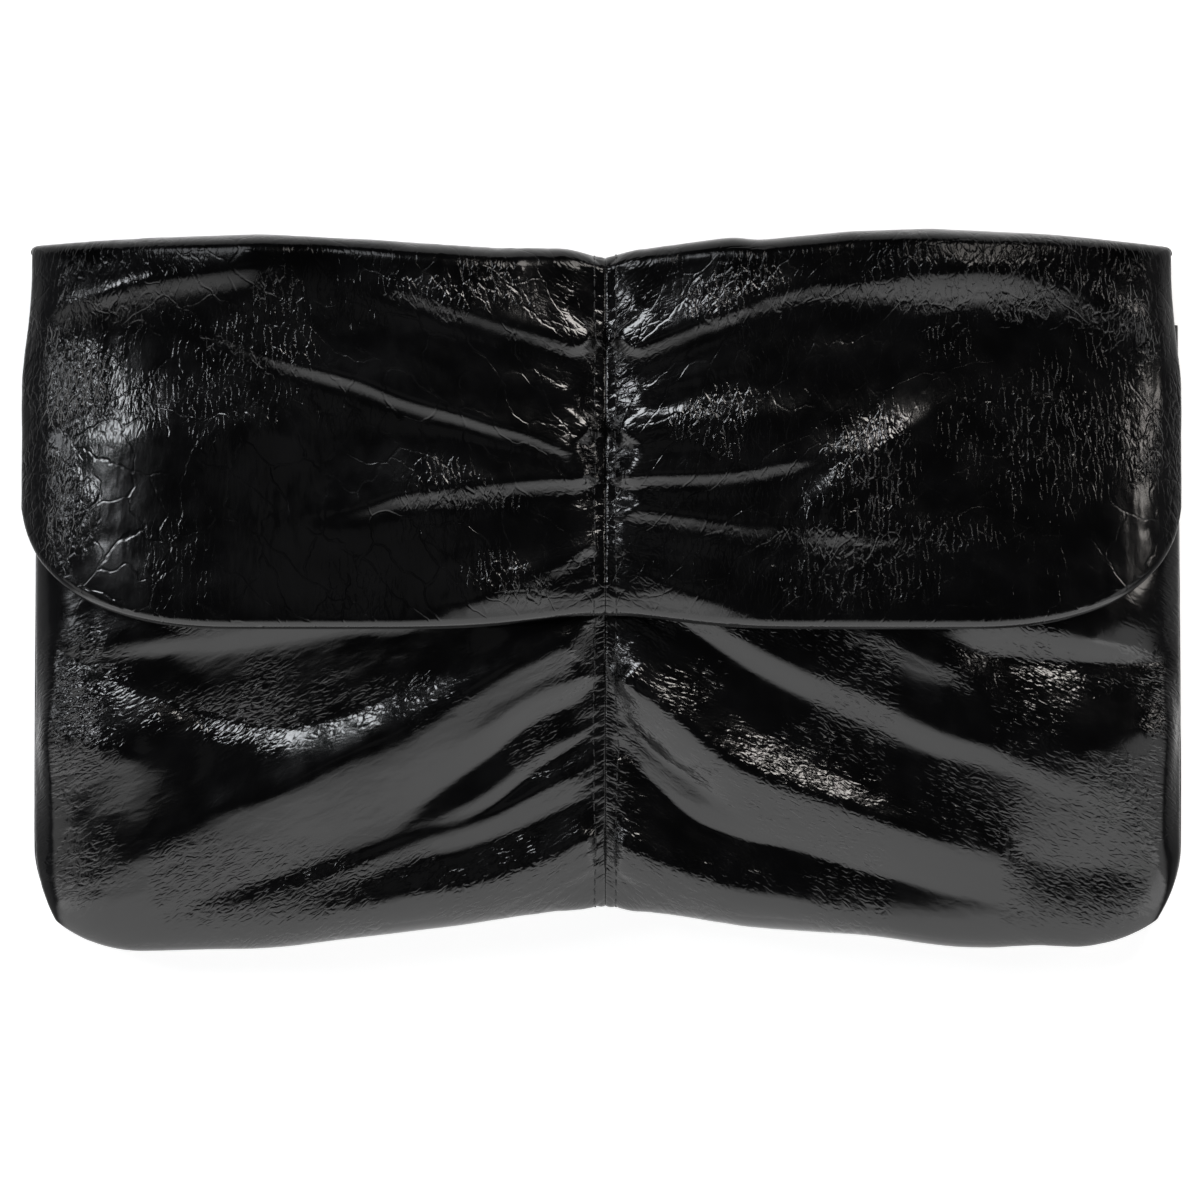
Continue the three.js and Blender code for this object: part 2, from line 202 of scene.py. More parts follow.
# Places where the leather is crinkled most: middle, reach across and along in millimetres, and how much
Patch = namedtuple("Patch", "out y across along amount")
FRONT_PATCHES = {
    "left": (
        Patch(96, -31, 24, 9, 1),
        Patch(55, -28, 18, 6, 0.8),
        Patch(138, -30, 12, 16, 1.6),
        Patch(18, -40, 9, 7, 0.8),
        Patch(35, -76, 22, 5, 0.7),
        Patch(138, -72, 14, 10, 0.6),
    ),
    "right": (
        Patch(46, -45, 20, 11, 1),
        Patch(22, -28, 10, 9, 0.9),
        Patch(116, -22, 24, 7, 1),
        Patch(146, -28, 9, 14, 1.5),
        Patch(100, -56, 20, 12, 0.7),
        Patch(35, -72, 18, 4, 0.7),
    ),
}
FLAP_PATCHES = {
    "left": (
        Patch(137, 55, 11, 12, 1.7),
        Patch(150, 45, 4, 36, 1.1),
        Patch(30, 77, 9, 8, 0.8),
        Patch(27, 2, 10, 7, 1),
        Patch(84, 76, 6, 12, 0.8),
        Patch(100, 48, 34, 8, 0.4),
        Patch(130, 88, 26, 6, 0.4),
        Patch(15, 60, 8, 6, 0.25),
        Patch(143, 20, 9, 14, 0.8),
        Patch(90, 63, 18, 9, 0.5),
        Patch(45, 76, 16, 6, 0.7),
        Patch(125, 74, 24, 7, 0.35),
        Patch(35, 27, 16, 5, 0.8),
    ),
    "right": (
        Patch(32, 79, 15, 8, 1),
        Patch(30, 44, 10, 9, 1),
        Patch(67, 31, 13, 16, 1),
        Patch(112, 40, 24, 20, 0.7),
        Patch(148, 36, 6, 24, 1.3),
        Patch(64, 4, 28, 9, 0.7),
        Patch(110, 89, 40, 5, 0.6),
        Patch(88, 64, 12, 9, 0.7),
        Patch(95, 79, 45, 7, 0.9),
        Patch(135, 70, 16, 8, 0.6),
        Patch(75, 14, 35, 6, 0.8),
    ),
}

# Shallow dents beside the seam at the top of the flap
TOP_DENTS = {
    "left": (Fold(0, 77, 17, 84, 34, 90, -0.5, 6, 8, 3),),
    "right": (Fold(0, 77, 19, 83, 38, 91, -0.5, 6, 8, 3),),
}

# The top fold's line: distances from the seam and places up the clutch, in millimetres
TOP_LINE = {
    "left": ((0, 86.6), (10, 89.2), (30, 89.4), (60, 91.4), (90, 93.0), (120, 92.2), (155, 90.6)),
    "right": ((0, 86.6), (6, 88.6), (33, 92.2), (40, 91.4), (64, 93.7), (85, 94.4), (115, 93.2), (155, 90.0)),
}
TOP_LINE_STEP = 0.5
TOP_LINE_EASE = 9.0

# How crinkled the panels are outside their patches, and how ragged the patches' borders are
CALM = {"front": 0.7, "back": 0.5, "flap": 0.2}
CALM_CELL = (22, 26)
CALM_RANGE = (-0.1, 0.5)
RAGGED = 5
RAGGED_CELLS = ((9, 11), (8, 12))
CRINKLE_SEED = {"left": 3, "right": 4}
CRINKLE_SEED_STEP = 10

# The gathers fan out from the seam: how their slope changes up the flap, and how they fall on the front
FLAP_LEVEL_Y = 28.0
FLAP_FAN = 0.0115
FRONT_FALL = {"left": 0.62, "right": 0.78}
FRONT_EASE = 0.0025
FRONT_FALL_OUT = 80

# Pleats at the centre seam, in millimetres, short ones side by side and long ones here and there: how high
# they are, where their middle height lies, how far they reach and how unevenly, and where they start
Pleats = namedtuple("Pleats", "height level reach uneven cell start")
SHORT_PLEATS = Pleats(0.38, 0.6, 5.5, 3, (11, 60), (0.3, 1.6))
LONG_PLEATS = Pleats(0.4, 0.35, 12, 6, (13, 80), (1, 6))
SHORT_PITCH = 3.8
LONG_CELL = (3.4, 18)
PLEAT_WANDER = 1.8
PLEAT_WANDER_CELL = (8, 16)

# The seam's turned edge, and the puckered dent of its stitches
SEAM_EDGE_RADIUS = 0.6
PUCKER_PITCH = 3.1
DENT_DEPTH = 0.3
DENT_OUT = 2.8
DENT_REACH = 0.9

# Soft wrinkles, broad ones everywhere and fine ones in places, in millimetres
BROAD_HEIGHT = 0.16
BROAD_CELL = (7, 22)
BROAD_LEAST = 0.4
FINE_HEIGHT = 0.12
FINE_CELL = (2.8, 9)
WRINKLE_LEVEL = 0.3
WRINKLED_CELL = (26, 30)
WRINKLED_RANGE = (-0.2, 0.6)
WRINKLE_SEED = {"front": (11, 29), "back": (47, 53), "flap": (71, 83)}
SEAM_SEED_STEP = 7

# Where wrinkles begin beside the seam and above the table
PAST_SEAM = (1, 6)
OFF_TABLE = (2, 6)

# Edges of the panels, in millimetres: turned at the sides and the flap's edge, and rounded at the rims
FRONT_EDGE_SHARE = 0.5
FRONT_EDGE_RADIUS = 1.4
FLAP_EDGE_RADIUS = 1.7
RIM_ROUND = 0.35
FACING_RIM_ROUND = 0.25
RIM_SEGMENTS = 2
RIM_ANGLE = math.radians(70)

# Share of a half beside the seam where its directions are kept level, and the slant of the front's skin
SEAM_LEVEL_SHARE = 0.03
FRONT_SLANT = 0.42

# The facing lies this far inside the flap, and stops short of its top fold, its edge and its sides
FACING_GAP = 0.35
FACING_ROWS = (FOLD_SHARE + 0.04, 0.985)
FACING_REACH = 0.985

# How many cells each panel's mesh has across and along, and how much they crowd at both ends of its width
Cells = namedtuple("Cells", "across along")
FRONT_CELLS = Cells(200, 210)
FLAP_CELLS = Cells(200, 180)
BACK_CELLS = Cells(90, 90)
FACING_CELLS = Cells(240, 70)
END_CROWDING = 0.4

# Values each way in the table of the noise
NOISE_TABLE = 256

# Creases of each leather: the size of the cells between them and of the large cells between veins, across
# and along the skin in millimetres, the creases' width as a share of a cell, and shares of the crease depth
Finish = namedtuple("Finish", "cell vein width depth vein_depth")
LEATHERS = {
    "pouch_leather": Finish((1.2, 3.2), (9, 14), 0.3, 0.75, 0.05),
    "flap_leather": Finish((1.7, 6), (9, 15), 0.14, 1.3, 0.3),
}
VEIN_TURN = math.radians(-40)
VEIN_WIDTH = 0.05

# Relief of the leather: how often its noise repeats in a millimetre of skin, and its depth in millimetres
SWELL_SCALE, SWELL_DEPTH = (0.3, 0.12, 1), 0.1
CRUMPLE_SCALE, CRUMPLE_DEPTH = (0.75, 0.28, 1), 0.18
GRAIN_SCALE, GRAIN_DEPTH = 3.2, 0.008
PEBBLE_CELL, PEBBLE_WIDTH, PEBBLE_DEPTH = (2.8, 1.3), 0.3, 0.035
PEBBLED_OUT = (2.0, 26.0)
BROKEN_SCALE, BROKEN_RANGE, BROKEN_LEAST = (0.5, 0.25, 1), (0.4, 0.58), 0.25

# How the coordinates of creases wander: how often in a millimetre, and how far in millimetres
Wander = namedtuple("Wander", "scale amount")
SKIN_WANDER = (Wander(0.13, 4.0), Wander(0.7, 0.7))
VEIN_WANDER = Wander(0.07, 14.0)
PEBBLE_WANDER = Wander(0.4, 1.6)
FACING_WANDER = Wander(0.8, 0.6)

# Tone and gloss of the leather: how often they change, and how much paler and rougher it is in places
TONE_SCALE, TONE_RANGE, PALER = 0.07, (0.35, 0.7), 2.4
GLOSS_SCALE, GLOSS_RANGE, GLOSS_SHARES = 0.12, (0.3, 0.7), (0.75, 1.3)
GLAZE_IOR = 1.5
COAT_ROUGHNESS = 0.08

# Lining, thread, snap and floor
FACING_GRAIN, FACING_GRAIN_WIDTH, FACING_GRAIN_DEPTH = (0.9, 1.1), 0.3, 0.06
# painted shade in the creases of the facing's grain: its cells are this much paler
FACING_PALER, FACING_ROUGHNESS = 2.0, 0.34
TWIST_SCALE, TWIST_DEPTH, TWIST_STRENGTH = 900.0, 0.1, 0.6
# painted shade in the grooves of the thread's twist: its strands are this much paler
THREAD_PALER, THREAD_ROUGHNESS = 1.8, 0.42
SNAP_MARKS, SNAP_ROUGHNESS = 2500.0, (0.18, 0.34)
SNAP_COLOURS = ((0.42, 0.42, 0.44), (0.55, 0.55, 0.57))
FLOOR_MOTTLE, FLOOR_DARKER, FLOOR_GLOW = 14.0, 0.985, 0.6

# Where the leather gets a painted sheen, a paler colour, and duller gloss: on its sides, by how far they face
# outwards times their place, and at its upper end, by how far that faces upwards. Along the top fold, by its
# place, only the gloss is dulled. Then its gloss, bright and dull.
SHEEN_SIDE = (0.062, 0.092)
SHEEN_END, SHEEN_END_MOST = (0.6, 0.9), 0.3
DULL_TOP, DULL_TOP_MOST = (0.072, 0.09), 0.85
SPECULAR = (0.5, 0.04)
COAT = (0.35, 0.0)

# Soft lights, in metres: low cards that the leather's lower slopes mirror, two boxes and two strips that its
# upper and side slopes mirror, a small one for the left of the flap, and a dim card overhead. Those no wider
# than a small light are round.
Light = namedtuple("Light", "name place target size strength colour")
SMALL_LIGHT = 0.25
COOL, WHITE, WARM = (0.93, 0.96, 1), (1, 1, 1), (1, 0.95, 0.9)
LIGHTS = (
    Light("low_card", (0, -0.6, 0.4), (0, 0, 0.4), (2.2, 0.8), 1.45, WHITE),
    Light("middle_card", (0, -0.6, 0.975), (0, 0, 0.975), (2.2, 0.35), 1.1, WHITE),
    Light("high_card", (0, -0.6, 1.35), (0, 0, 1.35), (2.2, 0.4), 0.5, WHITE),
    Light("left_card", (-1.25, -0.45, 0.55), (0, 0, 0.1), (0.7, 0.6), 0.75, WHITE),
    Light("right_card", (1.25, -0.45, 0.55), (0, 0, 0.1), (0.7, 0.6), 0.75, WHITE),
    Light("left_box", (-0.36, 0.72, 0.59), (0, 0, 0), (0.34, 0.34), 11, COOL),
    Light("right_box", (0.36, 0.72, 0.59), (0, 0, 0), (0.34, 0.34), 11, WARM),
    Light("left_strip", (-0.89, 0.19, 0.41), (0, 0, 0), (0.2, 0.14), 3, COOL),
    Light("right_strip", (0.89, 0.19, 0.41), (0, 0, 0), (0.2, 0.14), 4, WARM),
    Light("left_spot", (-0.72, 0.24, 0.65), (0, 0, 0), (0.18, 0.14), 10, COOL),
    Light("top_card", (-0.25, 0.15, 1.5), (0, 0, 0), (0.45, 0.45), 0.06, WHITE),
)

# Stitches: the faces of one, how flat its thread is, and where a row starts and ends, in millimetres
STITCH_SEGMENTS = 8
STITCH_RINGS = 6
THREAD_FLATNESS = 0.8
FIRST_STITCH = 2.0
LAST_STITCH = 1.0
LOWEST_STITCH = 2.0

# Lines beside the seam that the front and the flap leave for the stitches
SEAM_LINES = {}

# Floor, surroundings and camera, in metres and millimetres of film
FLOOR_SIZE = 8
FLOOR_Z = -0.0003
SURROUNDINGS = (0.014, 0.014, 0.015, 1)
SENSOR = 36.0
CLIP_END = 20

# A panel's middle surface: its points, the coordinates of its skin and gathers, and how crinkled it is
Surface = namedtuple("Surface", "points skin gathers crinkled")


def smooth(value, low, high):
    """0 up to low, 1 from high, and an eased step between."""
    share = np.clip((value - low) / (high - low), 0, 1)
    return share * share * (3 - 2 * share)


def blend(first, second, share):
    """A share of the way from first to second."""
    return first + (second - first) * share


def mottle(first, second, cell, seed):
    """Smooth noise from -1 to 1 whose patches are one cell wide along each of the two directions."""
    table = np.random.default_rng(seed).uniform(-1, 1, (NOISE_TABLE, NOISE_TABLE))
    first, second = first / cell[0], second / cell[1]
    column, row = np.floor(first).astype(int), np.floor(second).astype(int)
    right, up = (part**3 * (part * (part * 6 - 15) + 10) for part in (first - column, second - row))

    def corner(i, j):
        return table[(column + i) % NOISE_TABLE, (row + j) % NOISE_TABLE]

    low = blend(corner(0, 0), corner(1, 0), right)
    return blend(low, blend(corner(0, 1), corner(1, 1), right), up)


def arc_inset(past, radius):
    """How far a rounded corner pulls an outline in, at a distance past the start of its arc."""
    past = np.clip(past, 0, radius * CORNER_SHARE)
    return radius - np.sqrt(radius**2 - past**2)


def rolled(distance, radius):
    """How far a turned edge drops at a distance in from its end."""
    inside = np.clip(radius - distance, 0, radius)
    return radius - np.sqrt(radius**2 - inside**2)


def fullness(u):
    """1 over the middle of a half and 0 at its side seam, upright at the end so that the side is round."""
    inner, outer = FULLNESS_POWERS
    return np.clip(1 - u**inner, 0, 1) ** outer


def pinch(out, depth):
    """How much the centre seam draws a panel in."""
    return 1 - depth * np.exp(-((out / PINCH_REACH) ** PINCH_POWER))


def side_seam_z(y):
    """Height of the side seam above the table."""
    drop = np.clip((y - SIDE_DROP_FROM_Y) / (MOUTH_Y - SIDE_DROP_FROM_Y), 0, 1)
    return SIDE_SEAM_Z - SIDE_SEAM_DROP * drop


def roll_z(u, y):
    """Height at which the base roll bulges furthest."""
    return blend(side_seam_z(y), ROLL_Z, fullness(u))


def back_z(u, y, half_wall):
    """Middle of the back wall: flat on the table, and curled up to the side seam at its edge."""
    curl = 1 - np.sqrt(np.clip(1 - u**BACK_CURL_POWER, 0, 1))
    return blend(half_wall, side_seam_z(y), curl)


def front_z(u, out, y, depth):
    """Middle of the front wall past the base roll: it climbs to the flap's edge and falls to the mouth."""
    climb = blend(ROLL_TOP_SHARE, 1, smooth(y, *CLIMB_Y))
    fall = 1 - MOUTH_FALL * smooth(y, *FALL_Y)
    return roll_z(u, y) + LOBE_RISE * fullness(u) * pinch(out, depth) * climb * fall


def base_y(side, out):
    """The base line: two lobes, a notch at the centre seam and round corners."""
    notch = BASE_NOTCH * (1 + np.cos(math.pi * np.clip(out / LOBE_OUT, 0, 1))) / 2
    corner_start = POUCH_REACH[side] - BASE_CORNER_RADIUS * CORNER_SHARE
    dip = BASE_DIP[side] * np.exp(-(((out - DIP_OUT) / DIP_REACH) ** 2))
    return BASE_Y + notch + dip + arc_inset(out - corner_start, BASE_CORNER_RADIUS)


def pouch_place(side, u, angle, along, gap, half_wall):
    """Place at a share u from seam to side, an angle about the base roll and a share along to the mouth."""
    above = ROLL_REACH * (1 - np.cos(angle))
    inset = arc_inset(SIDE_CORNER_RADIUS * CORNER_SHARE - above, SIDE_CORNER_RADIUS)
    out = HALF_SEAM_GAP + u * (POUCH_REACH[side] - HALF_SEAM_GAP - inset)
    low = base_y(side, out)
    y = low + above + along * (MOUTH_Y - low - ROLL_REACH)
    bulge = roll_z(u, y) + gap
    under = bulge - back_z(u, y, half_wall)
    over = front_z(u, out, y, FRONT_PINCH) + gap - bulge
    return out, y, bulge + np.where(angle < 0, under, over) * np.sin(angle)


def front_place(side, u, v, half_wall):
    """Place on a front half: v runs from the bottom seam, round the base roll, to the mouth."""
    start = -UNDER_ANGLE * fullness(u)
    angle = blend(start, math.pi / 2, np.clip(v / ROLL_SHARE, 0, 1))
    along = np.clip((v - ROLL_SHARE) / (1 - ROLL_SHARE), 0, 1)
    return pouch_place(side, u, angle, along, EDGE_GAP, half_wall)


def back_place(side, u, v, half_wall):
    """Place on a back half: v runs from the bottom seam, under the base roll, to the flap's tail."""
    end = -UNDER_ANGLE * fullness(u) - UNDER_GAP_ANGLE
    angle = blend(end, -math.pi / 2, np.clip(v / BACK_ROLL_SHARE, 0, 1))
    along = np.clip((v - BACK_ROLL_SHARE) / (1 - BACK_ROLL_SHARE), 0, 1)
    return pouch_place(side, u, angle, along, -EDGE_GAP, half_wall)


def flap_edge_y(side, out):
    """The flap's lower edge: lifted at the seam, with a long elliptical corner."""
    past = np.clip((out - FLAP_REACH[side] + FLAP_CORNER_OUT) / FLAP_CORNER_OUT, 0, 1)
    corner = 1 - (1 - past**FLAP_CORNER_POWER) ** (1 / FLAP_CORNER_POWER)
    lift = FLAP_EDGE_LIFT * np.exp(-((out / PINCH_REACH) ** 2))
    return FLAP_EDGE_Y + lift + FLAP_CORNER_UP * corner


def top_y(side, out):
    """The top fold's line, eased between its points."""
    outs, ys = zip(*TOP_LINE[side])
    even = np.arange(-TOP_LINE_EASE, outs[-1] + TOP_LINE_EASE, TOP_LINE_STEP)
    weights = np.hanning(int(TOP_LINE_EASE / TOP_LINE_STEP) | 1)
    eased = np.convolve(np.interp(np.abs(even), outs, ys), weights / weights.sum(), mode="same")
    return np.interp(out, even, eased)


def flap_seam_y(out, y):
    """Where the gather through a place on the flap meets the seam."""
    return (y + FLAP_FAN * FLAP_LEVEL_Y * out) / (1 + FLAP_FAN * out)


def front_seam_y(side, out, y):
    """Where the gather through a place on the front meets the seam."""
    near = np.minimum(out, FRONT_FALL_OUT)
    return y + FRONT_FALL[side] * near - FRONT_EASE * near**2


def flap_z(u, out, y):
    """Middle of the flap's front: it lies over the pouch, a little higher towards the top fold."""
    return front_z(u, out, y, FLAP_PINCH) + FLAP_RISE + FLAP_TOP_RISE * smooth(y, *FALL_Y)


def flap_place(side, u, w, half_wall):
    """Place on a flap half, and how far its relief shows: w runs along the tail, the turn and the front."""
    front = np.clip((w - FOLD_SHARE) / (1 - FOLD_SHARE), 0, 1)
    tail = np.clip(w / TAIL_SHARE, 0, 1)
    taper = FLAP_TOP_TAPER * (1 - smooth(front, 0, TAPER_SHARE)) + TAIL_TAPER * (1 - tail)
    out = HALF_SEAM_GAP + u * (FLAP_REACH[side] - HALF_SEAM_GAP - taper)
    reach = blend(*FOLD_REACH, u)
    fold_y = top_y(side, out) - reach - half_wall
    turn = math.pi * (np.clip((w - TAIL_SHARE) / (FOLD_SHARE - TAIL_SHARE), 0, 1) - 0.5)
    front_y = blend(fold_y, flap_edge_y(side, out), front)
    power = 2 / np.where(turn > 0, TOP_SQUARENESS, UNDER_SQUARENESS)
    bulge = np.abs(np.cos(turn)) ** power
    climb = np.sign(turn) * np.abs(np.sin(turn)) ** power
    turned_y = blend(TAIL_Y, fold_y, tail) + np.where(w > TAIL_SHARE, reach * bulge, 0)
    y = np.where(w >= FOLD_SHARE, front_y, turned_y)
    crown = flap_z(u, out, fold_y)
    turned_z = blend(half_wall, crown, (1 + climb) / 2)
    return out, y, np.where(w >= FOLD_SHARE, flap_z(u, out, y), turned_z), smooth(turn, *SHOWN_TURN)


def fold_line(row, out):
    """Place and slope of a fold's line: straight on both sides of its middle point, where it bends gently."""
    first = (row.y1 - row.y0) / (row.out1 - row.out0)
    second = (row.y2 - row.y1) / (row.out2 - row.out1)
    ease = BEND_SHARE * min(row.out1 - row.out0, row.out2 - row.out1)
    past = (out - row.out1) / ease
    y = row.y1 + first * (out - row.out1) + (second - first) * ease * np.logaddexp(0, past)
    return y, blend(first, second, 1 / (1 + np.exp(-past)))


def fold_height(row, out, y):
    """Height of one fold: narrow at the seam, or rising from nothing, and fading at its end."""
    line_y, slope = fold_line(row, out)
    offset = (y - line_y) / np.hypot(1, slope)
    share = np.clip((out - row.out0) / (row.out2 - row.out0), 0, 1)
    from_seam = row.out0 < GATHER_OUT
    narrow = blend(GATHER_NARROW, 1, smooth(share, 0, NARROW_SHARE)) if from_seam else 1
    rise = 1 if from_seam else smooth(share, 0, RISE_SHARE)
    width = np.where(offset > 0, row.above, row.below)
    shape = np.exp((row.crest - np.hypot(offset / narrow, row.crest)) / width)
    return row.height * rise * (1 - smooth(share, FADE_SHARE, 1)) * shape


def folds_height(rows, out, y):
    """Height of all the folds in a table, whose lines wander a little."""
    y = y + FOLD_WANDER * mottle(out, y, WANDER_CELL, WANDER_SEED) * smooth(out, *WANDER_FROM)
    return sum(fold_height(row, out, y) for row in rows)


def crinkle_share(side, rows, out, y, calm):
    """How crinkled the leather is: in its patches, with ragged borders, and here and there elsewhere."""
    seed = CRINKLE_SEED[side]
    ragged_out = out + RAGGED * mottle(out, y, RAGGED_CELLS[0], seed)
    ragged_y = y + RAGGED * mottle(out, y, RAGGED_CELLS[1], seed + CRINKLE_SEED_STEP)
    share = calm * smooth(mottle(out, y, CALM_CELL, seed + 2 * CRINKLE_SEED_STEP), *CALM_RANGE)
    for row in rows:
        patch = ((ragged_out - row.out) / row.across) ** 2 + ((ragged_y - row.y) / row.along) ** 2
        share = np.maximum(share, row.amount * np.exp(-(patch**2)))
    return share


def held(out, y, reach):
    """How free a fold is: not at the centre seam, which holds it unevenly, nor at the side."""
    sewn = SEWN_REACH * (1 + SEWN_UNEVEN * mottle(y, out, SEWN_CELL, SEWN_SEED))
    return smooth(out, 0, sewn) * smooth(reach - out, 0, SIDE_FADE)


def flap_relief(side, out, y):
    """Height of the flap's folds and of the droop of its edge near the seam."""
    above_edge = y - flap_edge_y(side, out)
    droop = EDGE_DROOP * np.exp(-((out / DROOP_REACH) ** 2)) * (1 - smooth(above_edge, 0, DROOP_UP))
    return folds_height(FLAP_FOLDS[side], out, y) * held(out, y, FLAP_REACH[side]) - droop


def pleat_height(row, out, seam_y, seed):
    """How high pleats are at a distance from the seam."""
    reach = row.reach + row.uneven * mottle(seam_y, out, row.cell, seed)
    return row.height * np.exp(-out / reach) * smooth(out, *row.start)


def seam_shape(out, seam_y, seed):
    """Pleats where the seam gathers the leather, its turned edge, and the dent of its stitches."""
    wander = PLEAT_WANDER * mottle(seam_y, out, PLEAT_WANDER_CELL, seed)
    short = np.abs(np.sin(math.pi * (seam_y + wander) / SHORT_PITCH)) - SHORT_PLEATS.level
    pleats = short * pleat_height(SHORT_PLEATS, out, seam_y, seed + 1)
    long = LONG_PLEATS.level - np.abs(mottle(seam_y, out, LONG_CELL, seed + 2))
    pleats = pleats + long * pleat_height(LONG_PLEATS, out, seam_y, seed + 3)
    pucker = (1 + np.cos(2 * math.pi * (seam_y + wander) / PUCKER_PITCH)) / 2
    stitch_dent = DENT_DEPTH * pucker * np.exp(-(((out - DENT_OUT) / DENT_REACH) ** 2))
    return pleats - stitch_dent - rolled(out - HALF_SEAM_GAP, SEAM_EDGE_RADIUS)


def wrinkles(across, along, seed):
    """Soft wrinkles: sharp shallow creases with rounded leather between them, longer along than across."""
    broad = np.abs(mottle(across, along, BROAD_CELL, seed)) - WRINKLE_LEVEL
    fine = np.abs(mottle(across, along, FINE_CELL, seed + 1)) - WRINKLE_LEVEL
    where = smooth(mottle(across, along, WRINKLED_CELL, seed + 2), *WRINKLED_RANGE)
    return BROAD_HEIGHT * broad * blend(BROAD_LEAST, 1, where) + FINE_HEIGHT * fine * where


def crowded(steps):
    """Shares from 0 to 1 that crowd towards both ends, where a panel bends most."""
    even = np.linspace(0, 1, steps + 1)
    return blend(even, (1 - np.cos(math.pi * even)) / 2, END_CROWDING)


def grid_normals(points, side):
    """Outward directions of a grid of points whose columns run from the seam to the side."""
    across = np.gradient(points, axis=0)
    along = np.gradient(points, axis=1)
    normals = np.cross(across, along) * (1 if side == "right" else -1)
    return normals / np.linalg.norm(normals, axis=2, keepdims=True)


def level_at_seam(normals, u):
    """The directions with no sideways part at the centre seam, so that the halves stay apart."""
    normals = normals.copy()
    normals[..., 0] *= smooth(u, 0, SEAM_LEVEL_SHARE)
    return normals / np.linalg.norm(normals, axis=2, keepdims=True)


def to_points(side, out, y, z):
    """Places as points of the frame, in millimetres."""
    return np.stack((SEAM_X + (1 if side == "right" else -1) * out, y, z), axis=-1)


def front_surface(side, u, v, wall):
    """Surface of a front half with its folds."""
    out, y, z = front_place(side, u, v, wall / 2)
    points = to_points(side, out, y, z)
    normals = level_at_seam(grid_normals(points, side), u)
    covered = blend(1, COVERED_SHARE, smooth(y - flap_edge_y(side, out), *COVERED_REACH))
    slant = y + FRONT_SLANT * out
    seed = WRINKLE_SEED["front"][SIDES.index(side)]
    height = folds_height(FRONT_FOLDS[side], out, y) * held(out, y, POUCH_REACH[side]) * covered
    length = along_length(points)
    height = height + wrinkles(slant, out, seed) * smooth(out, *PAST_SEAM)
    height = height + seam_shape(out, front_seam_y(side, out, y), seed + SEAM_SEED_STEP)
    edge = np.minimum((1 - u) * POUCH_REACH[side], length)
    height = height - FRONT_EDGE_SHARE * rolled(edge, FRONT_EDGE_RADIUS)
    points = points + normals * height[..., None]
    points[..., 2] = under_flap(side, out, points[..., 1], points[..., 2])
    gathers = np.stack((out, front_seam_y(side, out, y)), axis=-1)
    crinkled = crinkle_share(side, FRONT_PATCHES[side], out, y, CALM["front"])
    return Surface(points, np.stack((slant, out), axis=-1), gathers, crinkled)


def under_flap(side, out, y, z):
    """Heights of the front, held under the flap and its facing."""
    u = np.clip(out / FLAP_REACH[side], 0, 1)
    edge = flap_edge_y(side, out)
    over = np.maximum(y, edge)
    flap = flap_z(u, out, over) + flap_relief(side, out, over)
    limit = flap - LAYERS_APART + np.maximum(edge - y, 0)
    return limit - COVER_EASE * np.logaddexp(0, (limit - z) / COVER_EASE)


def back_surface(side, u, v, wall):
    """Surface of a back half."""
    out, y, z = back_place(side, u, v, wall / 2)
    points = to_points(side, out, y, z)
    normals = -level_at_seam(grid_normals(points, side), u)
    seed = WRINKLE_SEED["back"][SIDES.index(side)]
    height = wrinkles(out, y, seed) * smooth(z, *OFF_TABLE)
    skin = np.stack((out, y), axis=-1)
    crinkled = crinkle_share(side, (), out, y, CALM["back"])
    return Surface(points + normals * height[..., None], skin, skin, crinkled)


def flap_surface(side, u, w, wall):
    """Surface of a flap half with its folds."""
    out, y, z, shown = flap_place(side, u, w, wall / 2)
    points = to_points(side, out, y, z)
    normals = -level_at_seam(grid_normals(points, side), u)
    seed = WRINKLE_SEED["flap"][SIDES.index(side)]
    relief = flap_relief(side, out, y) * np.clip(normals[..., 2], 0, 1)
    points[..., 2] += (relief + folds_height(TOP_DENTS[side], out, y)) * shown
    length = along_length(points)
    skin = np.stack((out, length), axis=-1)
    height = wrinkles(out, length, seed) * smooth(out, *PAST_SEAM) * shown
    height = height + seam_shape(out, flap_seam_y(out, y), seed + SEAM_SEED_STEP) * shown
    slope = np.gradient(flap_edge_y(side, out), axis=0) / np.gradient(out, axis=0)
    low = (y - flap_edge_y(side, out)) / np.hypot(1, slope)
    edge = np.minimum((1 - u) * FLAP_REACH[side], np.where(w >= FOLD_SHARE, low, np.inf))
    height = height - rolled(edge, FLAP_EDGE_RADIUS) * shown
    gathers = np.stack((out, flap_seam_y(out, y)), axis=-1)
    crinkled = crinkle_share(side, FLAP_PATCHES[side], out, y, CALM["flap"])
    return Surface(points + normals * height[..., None], skin, gathers, crinkled)


def along_length(points):
    """Length along each column of a grid of points."""
    steps = np.linalg.norm(np.diff(points, axis=1), axis=2)
    return np.pad(np.cumsum(steps, axis=1), ((0, 0), (1, 0)))


def add_grid(name, cells):
    """A new flat grid of cells, selected alone."""
    bpy.ops.object.select_all(action="DESELECT")
    bpy.ops.mesh.primitive_grid_add(x_subdivisions=cells.across, y_subdivisions=cells.along, size=2)
    piece = bpy.context.object
    piece.name = piece.data.name = name
    return piece


def grid_order(piece, cells):
    """Column and row of each vertex of a flat grid."""
    flat = np.empty(len(piece.data.vertices) * 3)
    piece.data.vertices.foreach_get("co", flat)
    flat = flat.reshape(-1, 3)
    column = np.rint((flat[:, 0] + 1) / 2 * cells.across).astype(int)
    row = np.rint((flat[:, 1] + 1) / 2 * cells.along).astype(int)
    return column, row


